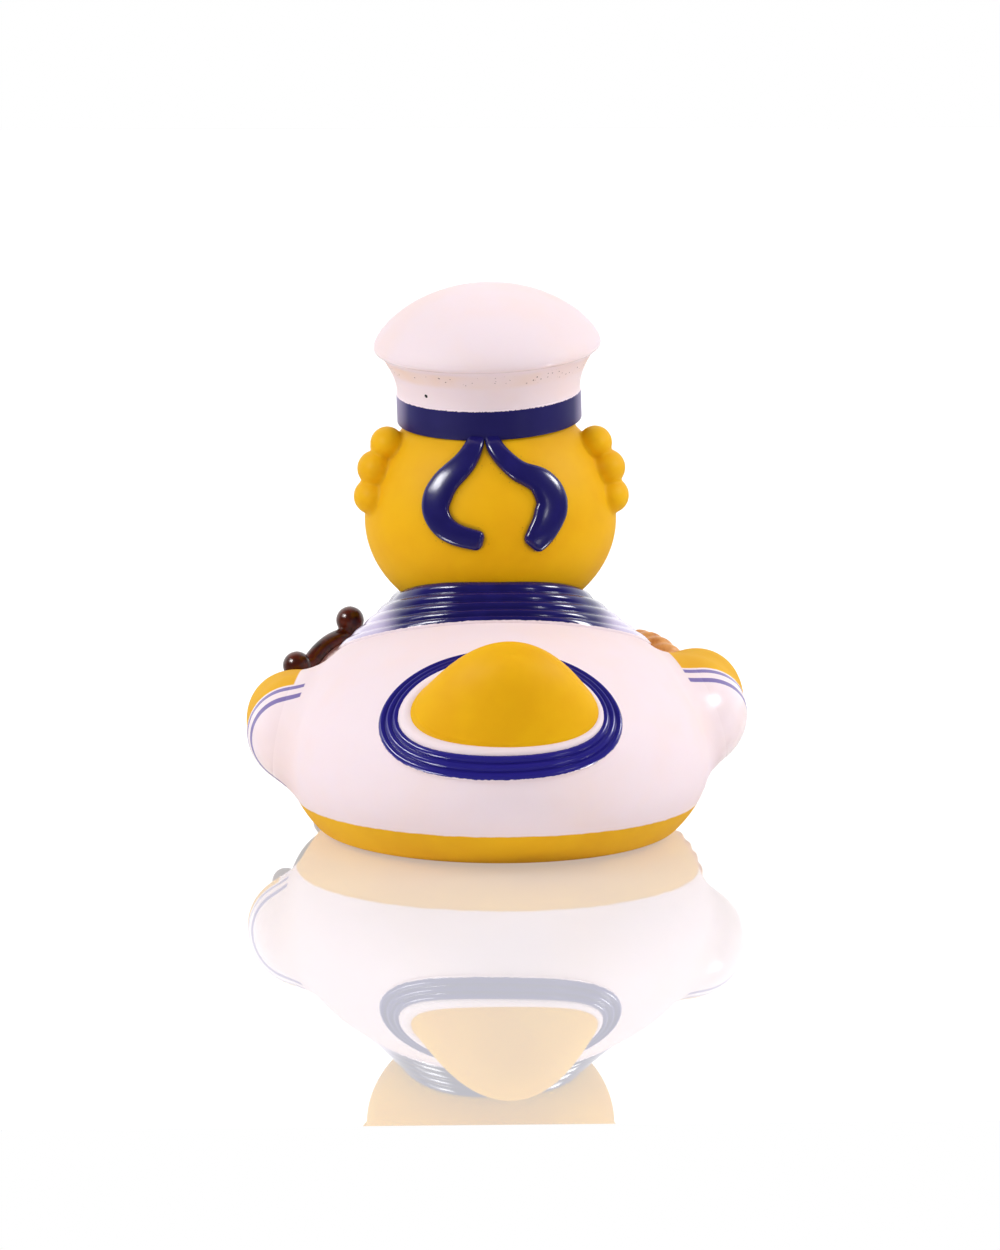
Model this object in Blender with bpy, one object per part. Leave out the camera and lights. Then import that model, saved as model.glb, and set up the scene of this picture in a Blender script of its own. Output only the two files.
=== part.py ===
"""A rubber duck in a sailor suit: one hollow piece of soft vinyl.

Metres, +Z up. The duck faces -Y and stands on z = 0, and the origin is at the middle of its base.
Its own left is +X. All its forms are in one mould, so they are joined into one solid, which is then
hollowed and given a vent hole in its base.
"""

import math

import bmesh
import bpy
from mathutils import Matrix, Vector

MM = 0.001

# The moulding
WALL = 2.5 * MM
VENT_RADIUS = 1.5 * MM

# Body: an egg lying along Y, cut flat where it stands
BODY_WIDTH = 70.4 * MM
BODY_LENGTH = 84.0 * MM
BODY_HALF_HEIGHT = 24.5 * MM
BODY_AXIS_HEIGHT = 14.0 * MM
BODY_FORWARD_AT_FLOOR = 4.5 * MM
BASE_BAND_HEIGHT = 5.5 * MM

# Head: an upright egg, set forward on the body
HEAD_X = 0.9 * MM
HEAD_Y = -10.0 * MM
HEAD_ABOVE_BODY = 12.9 * MM
HEAD_HEIGHT = BODY_AXIS_HEIGHT + BODY_HALF_HEIGHT + HEAD_ABOVE_BODY
HEAD_WIDTH = 41.8 * MM
HEAD_DEPTH = 41.0 * MM
HEAD_UP = 20.9 * MM
HEAD_DOWN = 17.5 * MM
NECK_PASSAGE_RADIUS = 9.5 * MM

# Cap: a band, a side that flares to a rim, and a low dome, leaning back
CAP_X = 1.5 * MM
CAP_BAND_RADIUS = 15.3 * MM
CAP_BAND_HEIGHT = 4.9 * MM
CAP_BAND_RAISE = 0.3 * MM
CAP_SEAT_BELOW_CROWN = 5.3 * MM
CAP_SIDE_HEIGHT = 7.8 * MM
CAP_RIM_RADIUS = 18.7 * MM
CAP_RIM_ROUND = 0.9 * MM
CAP_DOME_RISE = 9.3 * MM
CAP_LEAN = math.radians(6.0)

# Ribbon tails: each route is how far across the head's back, and how far below the cap's seat
RIBBON_RAISE = 1.3 * MM
RIBBON_SINK = 1.2 * MM
RIBBON_WIDTHS = (2.6 * MM, 3.3 * MM, 4.0 * MM, 3.2 * MM)
LEFT_RIBBON_MM = (
    (3.3, -1.0), (3.7, 1.7), (5.1, 4.5), (8.8, 7.8), (10.3, 11.0), (9.1, 14.0), (6.5, 15.7), (2.6, 16.8),
)
RIGHT_RIBBON_MM = (
    (0.9, -1.0), (-0.4, 3.1), (-3.9, 5.5), (-7.8, 7.3), (-9.6, 10.4), (-9.1, 13.3), (-7.3, 16.2), (-5.6, 17.9),
)
RIBBON_STATIONS = 14

# Curls: rows of soft lobes on each side of the head
CURL_RADIUS = 2.9 * MM
CURL_RISES = (12.9 * MM, 9.0 * MM, 4.6 * MM)
CURL_AZIMUTHS = (math.radians(-2.0), math.radians(22.0))
CURL_PROUD = (0.7 * MM, 0.1 * MM, -0.5 * MM)

# Collar: a ridged band draped from the neck to the shoulders
COLLAR_NECK_RADIUS = 15.2 * MM
COLLAR_NECK_BELOW_HEAD = 11.2 * MM
COLLAR_NECK_LEAN = 2.6 * MM
COLLAR_HALF_WIDTH = 25.5 * MM
COLLAR_HALF_DEPTH = 21.0 * MM
COLLAR_PROUD = 0.9 * MM
COLLAR_RIDGES = 5
COLLAR_RIDGE_RAISE = 0.55 * MM
COLLAR_SUNK_SHARE = 0.9
BAND_SINK = 1.6 * MM

# Tail and the ridged oval that it stands in
TAIL_BASE_INSET = 11.0 * MM
TAIL_BASE_HEIGHT = 21.0 * MM
TAIL_LEAN = 6.0 * MM
TAIL_RISE = 15.8 * MM
TAIL_WIDTH = 33.0 * MM
TAIL_DEPTH = 21.0 * MM
TAIL_X = -0.4 * MM
OVAL_SLOPE = math.radians(40.0)
OVAL_INSET = 10.5 * MM
OVAL_HEIGHT = 22.9 * MM
OVAL_X = 0.6 * MM
OVAL_HALF_WIDTH = 19.1 * MM
OVAL_HALF_DEPTH = 12.3 * MM
OVAL_BAND_WIDTH = 4.2 * MM
OVAL_RIDGES = 3
OVAL_RIDGE_RAISE = 0.6 * MM

# Sleeves and hands
SLEEVE_INSET = 4.0 * MM
SLEEVE_FORWARD = 5.0 * MM
SLEEVE_RADIUS = 10.4 * MM
SLEEVE_LENGTH = 29.0 * MM
LEFT_SLEEVE_HEIGHT = 16.6 * MM
RIGHT_SLEEVE_HEIGHT = 19.0 * MM
HAND_RADIUS = 7.4 * MM
HAND_LENGTH = 19.0 * MM
HAND_INSET = 1.2 * MM
HAND_FORWARD = 14.0 * MM
HAND_ABOVE_SLEEVE = 2.2 * MM

# Ship's wheel, in the left hand
WHEEL_FROM_SIDE = 9.2 * MM
WHEEL_FROM_FRONT = 14.7 * MM
WHEEL_HEIGHT = 17.3 * MM
WHEEL_HANDLE_RADIUS = 14.8 * MM
WHEEL_RIM_RADIUS = 12.0 * MM
WHEEL_RIM_THICKNESS = 3.0 * MM
WHEEL_HANDLES = 6
WHEEL_HANDLE_TURN = math.radians(35.0)
WHEEL_KNOB_RADIUS = 2.1 * MM
WHEEL_HUB_RADIUS = 3.6 * MM
HELD_BOSS_DEPTH = 9.0 * MM
HELD_BOSS_TAPER = 3.0 * MM
SPOKE_WIDTH = 2.2 * MM

# Coil of laid rope, in the right hand
COIL_FROM_SIDE = 10.7 * MM
COIL_FROM_FRONT = 14.7 * MM
COIL_HEIGHT = 16.5 * MM
COIL_RADIUS = 11.6 * MM
ROPE_RADIUS = 2.2 * MM
ROPE_LAY_DEPTH = 0.35 * MM
ROPE_STRANDS_ROUND_COIL = 11
HELD_TURN = math.radians(50.0)
HELD_TIP = math.radians(6.0)

# Beak and eyes
BEAK_WIDTH = 18.0 * MM
BEAK_REACH = 11.9 * MM
BEAK_THICKNESS = 5.6 * MM
BEAK_BELOW_EYES = 6.5 * MM
LOWER_BEAK_SHARE = 0.78
EYE_SPREAD = 7.6 * MM
EYE_RISE = 6.0 * MM
EYE_RADIUS = 2.9 * MM
EYE_RAISE = 0.7 * MM

# Paint on the moulding: colour and roughness
PAINTS = {
    "yellow_vinyl": ((0.87, 0.47, 0.01), 0.35),
    "white_paint": ((0.86, 0.76, 0.78), 0.25),
    "navy_paint": ((0.012, 0.010, 0.15), 0.2),
    "brown_paint": ((0.045, 0.010, 0.004), 0.2),
    "tan_paint": ((0.75, 0.37, 0.13), 0.35),
    "orange_paint": ((0.80, 0.20, 0.01), 0.3),
    "black_paint": ((0.01, 0.01, 0.01), 0.15),
}


class Egg:
    """An ellipsoid whose upper and lower halves may differ in height."""

    def __init__(self, centre, half_width, half_depth, up, down):
        self.centre = Vector(centre)
        self.half_width = half_width
        self.half_depth = half_depth
        self.up = up
        self.down = down

    def inner(self, wall):
        """The same egg with a wall taken off."""
        return Egg(
            self.centre,
            self.half_width - wall,
            self.half_depth - wall,
            self.up - wall,
            self.down - wall,
        )

    def half_height(self, rise):
        return self.up if rise >= 0 else self.down

    def level(self, rise):
        """How wide the egg is at this height above its centre, as a share of its widest."""
        return math.sqrt(max(0.0, 1 - (rise / self.half_height(rise)) ** 2))

    def at(self, azimuth, rise):
        """The surface point at this height. Azimuth 0 is +X and a quarter turn is +Y."""
        share = self.level(rise)
        reach = Vector((self.half_width * math.cos(azimuth), self.half_depth * math.sin(azimuth), 0))
        return self.centre + reach * share + Vector((0, 0, rise))

    def behind(self, across, rise):
        """The point on the rear surface, this far across from the centre and this far above it."""
        share = max(0.0, self.level(rise) ** 2 - (across / self.half_width) ** 2)
        return self.centre + Vector((across, self.half_depth * math.sqrt(share), rise))

    def in_front(self, across, rise):
        point = self.behind(across, rise)
        point.y = 2 * self.centre.y - point.y
        return point

    def over(self, x, y):
        """The point on the upper surface over x, y."""
        across = (x - self.centre.x) / self.half_width
        back = (y - self.centre.y) / self.half_depth
        rise = self.up * math.sqrt(max(0.0, 1 - across**2 - back**2))
        return Vector((x, y, self.centre.z + rise))

    def scaled(self, vector):
        height = self.half_height(vector.z)
        return Vector((vector.x / self.half_width, vector.y / self.half_depth, vector.z / height))

    def normal(self, point):
        offset = point - self.centre
        height = self.half_height(offset.z)
        gradient = (offset.x / self.half_width**2, offset.y / self.half_depth**2, offset.z / height**2)
        return Vector(gradient).normalized()

    def along(self, start, direction):
        """Where a line through start, along direction, leaves the egg."""
        near = self.scaled(start - self.centre)
        step = self.scaled(direction)
        square = step.dot(step)
        half = near.dot(step)
        rest = near.dot(near) - 1
        travel = (-half + math.sqrt(max(0.0, half**2 - square * rest))) / square
        return start + direction * travel

    def rings(self, around, levels, floor=None):
        """Rings of points from the top down to the bottom, or to a flat cut at the floor."""
        last = math.pi if floor is None else math.acos((floor - self.centre.z) / self.down)
        rows = [[self.centre + Vector((0, 0, self.up))]]
        for step in range(1, levels + 1):
            angle = last * step / levels
            rise = self.half_height(math.cos(angle)) * math.cos(angle)
            if floor is None and step == levels:
                rows.append([self.centre - Vector((0, 0, self.down))])
            else:
                rows.append([self.at(math.tau * i / around, rise) for i in range(around)])
        return rows


BODY = Egg((0, 0, BODY_AXIS_HEIGHT), BODY_WIDTH / 2, BODY_LENGTH / 2, BODY_HALF_HEIGHT, BODY_HALF_HEIGHT)
HEAD = Egg((HEAD_X, HEAD_Y, HEAD_HEIGHT), HEAD_WIDTH / 2, HEAD_DEPTH / 2, HEAD_UP, HEAD_DOWN)
CAP_SEAT = Vector((CAP_X, HEAD_Y, HEAD_HEIGHT + HEAD_UP - CAP_SEAT_BELOW_CROWN))


def clear_scene():
    for old in list(bpy.data.objects):
        bpy.data.objects.remove(old, do_unlink=True)


def make_paints():
    for name, (colour, roughness) in PAINTS.items():
        material = bpy.data.materials.new(name)
        material.use_nodes = True
        shader = material.node_tree.nodes["Principled BSDF"]
        shader.inputs["Base Color"].default_value = (*colour, 1)
        shader.inputs["Roughness"].default_value = roughness
        shader.inputs["Metallic"].default_value = 0


def skin(name, rings, collection, paint, looped=False):
    """A closed mesh over a row of rings. A ring of one point is a pole, and open ends are capped."""
    bm = bmesh.new()
    rows = [[bm.verts.new(point) for point in ring] for ring in rings]
    pairs = list(zip(rows, rows[1:]))
    if looped:
        pairs.append((rows[-1], rows[0]))
    for first, second in pairs:
        for i in range(max(len(first), len(second))):
            corners = (
                first[i % len(first)],
                first[(i + 1) % len(first)],
                second[(i + 1) % len(second)],
                second[i % len(second)],
            )
            bm.faces.new(list(dict.fromkeys(corners)))
    if not looped:
        for end in (rows[0], rows[-1]):
            if len(end) > 1:
                bm.faces.new(end)
    bmesh.ops.recalc_face_normals(bm, faces=bm.faces)
    mesh = bpy.data.meshes.new(name)
    bm.to_mesh(mesh)
    bm.free()
    mesh.materials.append(bpy.data.materials[paint])
    form = bpy.data.objects.new(name, mesh)
    collection.objects.link(form)
    return form


def helpers(name):
    """A collection for forms that a Boolean joins or cuts, which are no pieces themselves."""
    collection = bpy.data.collections.new(name)
    bpy.context.scene.collection.children.link(collection)
    return collection


def hide_helpers(collection):
    for form in collection.objects:
        form.hide_render = True
        form.display_type = "WIRE"


def turned(profile, around, place):
    """Rings of a turned form. The profile is (radius, height) from one end to the other."""
    rows = []
    for radius, height in profile:
        if radius <= 0:
            rows.append([place @ Vector((0, 0, height))])
            continue
        angles = [math.tau * i / around for i in range(around)]
        rows.append([place @ Vector((radius * math.cos(a), radius * math.sin(a), height)) for a in angles])
    return rows


def cap_profile(inset, bottom, around_rim):
    """The cap from its band's lower edge to the middle of its dome, with an inset for its inner wall."""
    band_top = CAP_BAND_HEIGHT
    side_top = band_top + CAP_SIDE_HEIGHT
    profile = [(CAP_BAND_RADIUS - inset, bottom)]
    profile += [(CAP_BAND_RADIUS - inset, band_top)]
    if not inset:
        profile += [(CAP_BAND_RADIUS - CAP_BAND_RAISE, band_top + CAP_BAND_RAISE / 2)]
    flare = CAP_RIM_RADIUS - CAP_BAND_RADIUS
    for share in (0.4, 0.75):
        profile.append((CAP_BAND_RADIUS - inset + flare * share**1.6, band_top + CAP_SIDE_HEIGHT * share))
    for step in range(around_rim):
        turn = math.pi / 2 * step / around_rim
        lift = CAP_RIM_ROUND * (2 * step / around_rim)
        profile.append((CAP_RIM_RADIUS - inset - CAP_RIM_ROUND * (1 - math.cos(turn)) / 2, side_top + lift))
    rim_top = side_top + 2 * CAP_RIM_ROUND
    dome_radius = CAP_RIM_RADIUS - inset - CAP_RIM_ROUND / 2
    dome_rise = CAP_DOME_RISE - inset
    for share in (0.95, 0.8, 0.56, 0.28):
        profile.append((dome_radius * share, rim_top + dome_rise * (1 - share**2) ** 0.7))
    profile.append((0, rim_top + dome_rise))
    return profile


def cap_place():
    return Matrix.Translation(CAP_SEAT) @ Matrix.Rotation(-CAP_LEAN, 4, "X")


def add_cap(forms):
    skin("cap", turned(cap_profile(0, 0, 3), 36, cap_place()), forms, "white_paint")


def smooth_path(points, stations):
    """Points along a Catmull-Rom curve through these points."""
    points = [2 * points[0] - points[1], *points, 2 * points[-1] - points[-2]]
    path = []
    spans = len(points) - 3
    for station in range(stations):
        travel = spans * station / (stations - 1)
        span = min(int(travel), spans - 1)
        t = travel - span
        p0, p1, p2, p3 = points[span : span + 4]
        square_term = 2 * p0 - 5 * p1 + 4 * p2 - p3
        cube_term = 3 * p1 - p0 - 3 * p2 + p3
        path.append((2 * p1 + (p2 - p0) * t + square_term * t**2 + cube_term * t**3) / 2)
    return path


def add_ribbon(name, route_mm, forms):
    """A rounded strip that lies on the back of the head."""
    seat = CAP_SEAT.z - HEAD.centre.z
    points = [Vector((across * MM, seat - below * MM, 0)) for across, below in route_mm]
    path = smooth_path(points, RIBBON_STATIONS)
    rows = []
    for i, middle in enumerate(path):
        share = i / (len(path) - 1) * (len(RIBBON_WIDTHS) - 1)
        low = min(int(share), len(RIBBON_WIDTHS) - 2)
        width = RIBBON_WIDTHS[low] + (RIBBON_WIDTHS[low + 1] - RIBBON_WIDTHS[low]) * (share - low)
        onward = path[min(i + 1, len(path) - 1)] - path[max(i - 1, 0)]
        side = Vector((-onward.y, onward.x, 0)).normalized()
        ring = []
        for across, height in ((-1, 0), (-0.7, 0.8), (0, 1), (0.7, 0.8), (1, 0)):
            spot = middle + side * (across * width / 2)
            on_head = HEAD.behind(spot.x, spot.y)
            ring.append(on_head + HEAD.normal(on_head) * RIBBON_RAISE * height)
        for across in (1, -1):
            spot = middle + side * (across * width / 2)
            on_head = HEAD.behind(spot.x, spot.y)
            ring.append(on_head - HEAD.normal(on_head) * RIBBON_SINK)
        rows.append(ring)
    skin(name, rows, forms, "navy_paint")


def add_curls(forms):
    for side, sign in (("left", 1), ("right", -1)):
        for azimuth in CURL_AZIMUTHS:
            for row, (rise, proud) in enumerate(zip(CURL_RISES, CURL_PROUD)):
                angle = azimuth if sign > 0 else math.pi - azimuth
                on_head = HEAD.at(angle, rise)
                middle = on_head + HEAD.normal(on_head) * proud
                lobe = Egg(middle, CURL_RADIUS, CURL_RADIUS, CURL_RADIUS, CURL_RADIUS)
                skin(f"curl_{side}_{row}", lobe.rings(8, 4), forms, "yellow_vinyl")


def add_ridged_band(name, inner_edge, outer_edge, ridges, ridge_raise, steps, forms):
    """A band from one closed edge to another, with round ridges along it and its underside sunk in."""
    rows = []
    for step in range(steps):
        angle = math.tau * step / steps
        start = inner_edge(angle)
        across = outer_edge(angle) - start
        turn = math.tau / steps / 4
        along = inner_edge(angle + turn) - inner_edge(angle - turn)
        outward = along.cross(across).normalized()
        if outward.dot(start + across / 2 - BODY.centre) < 0:
            outward = -outward
        ring = [start]
        for ridge in range(ridges):
            ring.append(start + across * (ridge + 0.5) / ridges + outward * ridge_raise)
            ring.append(start + across * (ridge + 1) / ridges)
        ring.append(start + across - outward * BAND_SINK)
        ring.append(start - outward * BAND_SINK)
        rows.append(ring)
    skin(name, rows, forms, "navy_paint", looped=True)


def add_collar(steps, forms):
    """The collar: ridged rings from the neck to the shoulders, solid down to the body beneath."""
    angles = [math.tau * step / steps for step in range(steps)]
    rows = [[Vector((HEAD.centre.x, HEAD.centre.y, collar_neck_edge(0).z))]]
    for edge in range(2 * COLLAR_RIDGES + 1):
        share = edge / (2 * COLLAR_RIDGES)
        ring = []
        for angle in angles:
            start = collar_neck_edge(angle)
            point = start.lerp(collar_shoulder_edge(angle), share)
            ring.append(point + BODY.normal(point) * COLLAR_RIDGE_RAISE * (edge % 2))
        rows.append(ring)
    rows.append([BODY.centre + (point - BODY.centre) * COLLAR_SUNK_SHARE for point in rows[-1]])
    rows.append([Vector((HEAD.centre.x, HEAD.centre.y, BODY.centre.z))])
    skin("collar", rows, forms, "navy_paint")


def collar_neck_edge(angle):
    lift = HEAD.centre.z - COLLAR_NECK_BELOW_HEAD + COLLAR_NECK_LEAN * math.sin(angle)
    x = HEAD.centre.x + COLLAR_NECK_RADIUS * math.cos(angle)
    return Vector((x, HEAD.centre.y + COLLAR_NECK_RADIUS * math.sin(angle), lift))


def collar_shoulder_edge(angle):
    x = HEAD.centre.x + COLLAR_HALF_WIDTH * math.cos(angle)
    on_body = BODY.over(x, HEAD.centre.y + COLLAR_HALF_DEPTH * math.sin(angle))
    return on_body + BODY.normal(on_body) * COLLAR_PROUD


def oval_edge(half_width, half_depth):
    """A function that gives the points of an oval on the body's rear slope."""
    middle = Vector((OVAL_X, BODY.half_depth - OVAL_INSET, OVAL_HEIGHT))
    outward = Vector((0, math.sin(OVAL_SLOPE), math.cos(OVAL_SLOPE)))
    down_slope = Vector((0, math.cos(OVAL_SLOPE), -math.sin(OVAL_SLOPE)))

    def edge(angle):
        across = Vector((half_width * math.cos(angle), 0, 0))
        return BODY.along(middle + across + down_slope * half_depth * math.sin(angle), outward)

    return edge


def tail_rings(inset, around, levels):
    base = Vector((TAIL_X, BODY.half_depth - TAIL_BASE_INSET, TAIL_BASE_HEIGHT))
    rise = Vector((0, TAIL_LEAN, TAIL_RISE))
    axis = rise.normalized()
    across = Vector((0, axis.z, -axis.y))
    length = rise.length - inset
    rows = []
    for level in range(levels):
        share = math.sin(math.pi / 2 * level / levels)
        spread = (1 - share**1.5) ** 0.6
        middle = base + axis * length * share
        ring = []
        for i in range(around):
            angle = math.tau * i / around
            wide = Vector(((TAIL_WIDTH / 2 - inset) * math.cos(angle), 0, 0))
            ring.append(middle + (wide + across * (TAIL_DEPTH / 2 - inset) * math.sin(angle)) * spread)
        rows.append(ring)
    return [[point - axis * TAIL_DEPTH / 8 for point in rows[0]], *rows, [base + axis * length]]


def sleeve(sign, height):
    middle = (sign * (BODY.half_width - SLEEVE_INSET), -SLEEVE_FORWARD, height)
    return Egg(middle, SLEEVE_RADIUS, SLEEVE_LENGTH / 2, SLEEVE_RADIUS * 0.95, SLEEVE_RADIUS * 0.9)


def add_arms(forms):
    for side, sign, height in (("left", 1, LEFT_SLEEVE_HEIGHT), ("right", -1, RIGHT_SLEEVE_HEIGHT)):
        skin(f"sleeve_{side}", sleeve(sign, height).rings(20, 10), forms, "white_paint")
        hand_out = sign * (BODY.half_width - HAND_INSET)
        middle = (hand_out, -HAND_FORWARD, height + HAND_ABOVE_SLEEVE)
        hand = Egg(middle, HAND_RADIUS, HAND_LENGTH / 2, HAND_RADIUS, HAND_RADIUS)
        skin(f"hand_{side}", hand.rings(16, 8), forms, "yellow_vinyl")


def held_place(sign, from_side, from_front, height):
    """Sets a form at the front corner of the body on this side, with its own +Z outwards."""
    centre = Vector((sign * (BODY.half_width - from_side), from_front - BODY.half_depth, height))
    turn = Matrix.Rotation(sign * HELD_TURN, 4, "Z")
    lean = Matrix.Rotation(math.pi / 2 - HELD_TIP, 4, "X")
    return Matrix.Translation(centre) @ turn @ lean


def ring_tube(place, ring_radius, tube_radius_at, around, section):
    rows = []
    for i in range(around):
        angle = math.tau * i / around
        outward = Vector((math.cos(angle), math.sin(angle), 0))
        ring = []
        for j in range(section):
            turn = math.tau * j / section
            radius = tube_radius_at(angle, turn)
            offset = outward * (ring_radius + radius * math.cos(turn))
            offset.z = radius * math.sin(turn)
            ring.append(place @ offset)
        rows.append(ring)
    return rows


def boss(radius):
    """The tapering block that joins a held form to the body behind it."""
    return ((radius - HELD_BOSS_TAPER, -HELD_BOSS_DEPTH), (radius, 0))


def add_wheel(forms):
    place = held_place(1, WHEEL_FROM_SIDE, WHEEL_FROM_FRONT, WHEEL_HEIGHT)
    rim = ring_tube(place, WHEEL_RIM_RADIUS, lambda angle, turn: WHEEL_RIM_THICKNESS / 2, 30, 6)
    skin("wheel_rim", rim, forms, "brown_paint", looped=True)
    skin("wheel_boss", turned(boss(WHEEL_RIM_RADIUS), 18, place), forms, "white_paint")
    hub = ((WHEEL_HUB_RADIUS, -SPOKE_WIDTH), (WHEEL_HUB_RADIUS, SPOKE_WIDTH * 0.6), (0, SPOKE_WIDTH * 0.9))
    skin("wheel_hub", turned(hub, 16, place), forms, "brown_paint")
    for handle in range(WHEEL_HANDLES):
        angle = WHEEL_HANDLE_TURN + math.tau * handle / WHEEL_HANDLES
        outward = place @ Matrix.Rotation(angle, 4, "Z") @ Matrix.Rotation(math.pi / 2, 4, "Y")
        shaft = ((SPOKE_WIDTH / 2, 0), (SPOKE_WIDTH / 2, WHEEL_HANDLE_RADIUS))
        skin(f"wheel_spoke_{handle}", turned(shaft, 6, outward), forms, "brown_paint")
        middle = outward @ Vector((0, 0, WHEEL_HANDLE_RADIUS))
        knob = Egg(middle, WHEEL_KNOB_RADIUS, WHEEL_KNOB_RADIUS, WHEEL_KNOB_RADIUS, WHEEL_KNOB_RADIUS)
        skin(f"wheel_knob_{handle}", knob.rings(10, 6), forms, "brown_paint")


def add_rope_coil(forms):
    place = held_place(-1, COIL_FROM_SIDE, COIL_FROM_FRONT, COIL_HEIGHT)

    def laid(angle, turn):
        return ROPE_RADIUS - ROPE_LAY_DEPTH * math.cos(ROPE_STRANDS_ROUND_COIL * angle + turn)

    coil = ring_tube(place, COIL_RADIUS, laid, 4 * ROPE_STRANDS_ROUND_COIL, 6)
    skin("rope_coil", coil, forms, "tan_paint", looped=True)
    skin("rope_boss", turned(boss(COIL_RADIUS), 18, place), forms, "white_paint")


def add_face(forms):
    front = HEAD.in_front(0, EYE_RISE - BEAK_BELOW_EYES)
    thickness = BEAK_THICKNESS / 2
    upper = Egg(front, BEAK_WIDTH / 2, BEAK_REACH, thickness, thickness * 0.6)
    skin("upper_beak", upper.rings(20, 8), forms, "orange_paint")
    jaw = front - Vector((0, 0, thickness))
    lower_sizes = [size * LOWER_BEAK_SHARE for size in (BEAK_WIDTH / 2, BEAK_REACH, thickness, thickness)]
    lower = Egg(jaw, *lower_sizes)
    skin("lower_beak", lower.rings(16, 6), forms, "orange_paint")
    for side, sign in (("left", 1), ("right", -1)):
        middle = HEAD.in_front(sign * EYE_SPREAD, EYE_RISE)
        turn = Vector((0, 0, 1)).rotation_difference(HEAD.normal(middle)).to_matrix().to_4x4()
        shoulder = (EYE_RADIUS * 0.7, EYE_RAISE * 0.8)
        dome = ((EYE_RADIUS, -EYE_RADIUS / 2), (EYE_RADIUS, 0), shoulder, (0, EYE_RAISE))
        skin(f"eye_{side}", turned(dome, 16, Matrix.Translation(middle) @ turn), forms, "black_paint")


def add_hollow(forms):
    """The inside of the moulding: each main form less the wall, joined through the neck."""
    skin("body_hollow", lean_forward(BODY.inner(WALL).rings(28, 9, floor=WALL)), forms, "yellow_vinyl")
    skin("head_hollow", HEAD.inner(WALL).rings(22, 10), forms, "yellow_vinyl")
    neck = ((NECK_PASSAGE_RADIUS, BODY.centre.z), (NECK_PASSAGE_RADIUS, HEAD.centre.z))
    under_head = Matrix.Translation((HEAD.centre.x, HEAD.centre.y, 0))
    skin("neck_hollow", turned(neck, 16, under_head), forms, "yellow_vinyl")
    skin("cap_hollow", turned(cap_profile(WALL, WALL, 1), 20, cap_place()), forms, "yellow_vinyl")
    skin("tail_hollow", tail_rings(WALL, 14, 6), forms, "yellow_vinyl")
    for side, sign, height in (("left", 1, LEFT_SLEEVE_HEIGHT), ("right", -1, RIGHT_SLEEVE_HEIGHT)):
        skin(f"sleeve_hollow_{side}", sleeve(sign, height).inner(WALL).rings(12, 6), forms, "yellow_vinyl")
    vent = ((VENT_RADIUS, -WALL), (VENT_RADIUS, 2 * WALL))
    skin("vent", turned(vent, 16, Matrix.Identity(4)), forms, "yellow_vinyl")


def lean_forward(rows):
    """Draws the body forward below its axis, so that it stands on a base shorter than its belly."""
    for point in (point for row in rows for point in row):
        depth = max(0.0, BODY.centre.z - point.z) / BODY.centre.z
        point.y -= BODY_FORWARD_AT_FLOOR * depth**2
    return rows


def paint_body(duck):
    """White over the body, which leaves a band of bare yellow vinyl along the base."""
    duck.data.materials.append(bpy.data.materials["white_paint"])
    for face in duck.data.polygons:
        face.material_index = 1 if face.center.z > BASE_BAND_HEIGHT else 0


def add_boolean(target, name, operation, collection):
    modifier = target.modifiers.new(name, "BOOLEAN")
    modifier.operation = operation
    modifier.operand_type = "COLLECTION"
    modifier.collection = collection
    modifier.solver = "EXACT"
    modifier.material_mode = "TRANSFER"


def build():
    clear_scene()
    make_paints()
    raised = helpers("raised_forms")
    add_cap(raised)
    skin("head", HEAD.rings(32, 16), raised, "yellow_vinyl")
    add_ribbon("ribbon_left", LEFT_RIBBON_MM, raised)
    add_ribbon("ribbon_right", RIGHT_RIBBON_MM, raised)
    add_curls(raised)
    add_collar(36, raised)
    oval_inner = oval_edge(OVAL_HALF_WIDTH - OVAL_BAND_WIDTH, OVAL_HALF_DEPTH - OVAL_BAND_WIDTH)
    oval_outer = oval_edge(OVAL_HALF_WIDTH, OVAL_HALF_DEPTH)
    add_ridged_band("tail_oval", oval_inner, oval_outer, OVAL_RIDGES, OVAL_RIDGE_RAISE, 34, raised)
    skin("tail", tail_rings(0, 24, 8), raised, "yellow_vinyl")
    add_arms(raised)
    add_wheel(raised)
    add_rope_coil(raised)
    add_face(raised)
    hollow = helpers("hollow_forms")
    add_hollow(hollow)
    body = lean_forward(BODY.rings(42, 13, floor=0))
    duck = skin("duck", body, bpy.context.scene.collection, "yellow_vinyl")
    paint_body(duck)
    add_boolean(duck, "join_forms", "UNION", raised)
    add_boolean(duck, "hollow_out", "DIFFERENCE", hollow)
    duck.data.shade_smooth()
    duck.data.set_sharp_from_angle(angle=math.radians(40))
    hide_helpers(raised)
    hide_helpers(hollow)


build()
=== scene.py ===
# %% [markdown]
# # A rubber duck in a sailor suit
# The duck is one hollow moulding of soft yellow vinyl. After it leaves its mould it is painted by
# hand and by spray mask: white for the suit and the cap, navy for the trim, brown and tan for what
# the hands hold. This notebook dresses the plain solid that construction gives us, and it adds what
# paint and moulding do to a surface.

# %% Load the frame
import math

import bmesh
import bpy
import numpy as np
from mathutils import Matrix, Vector


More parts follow.
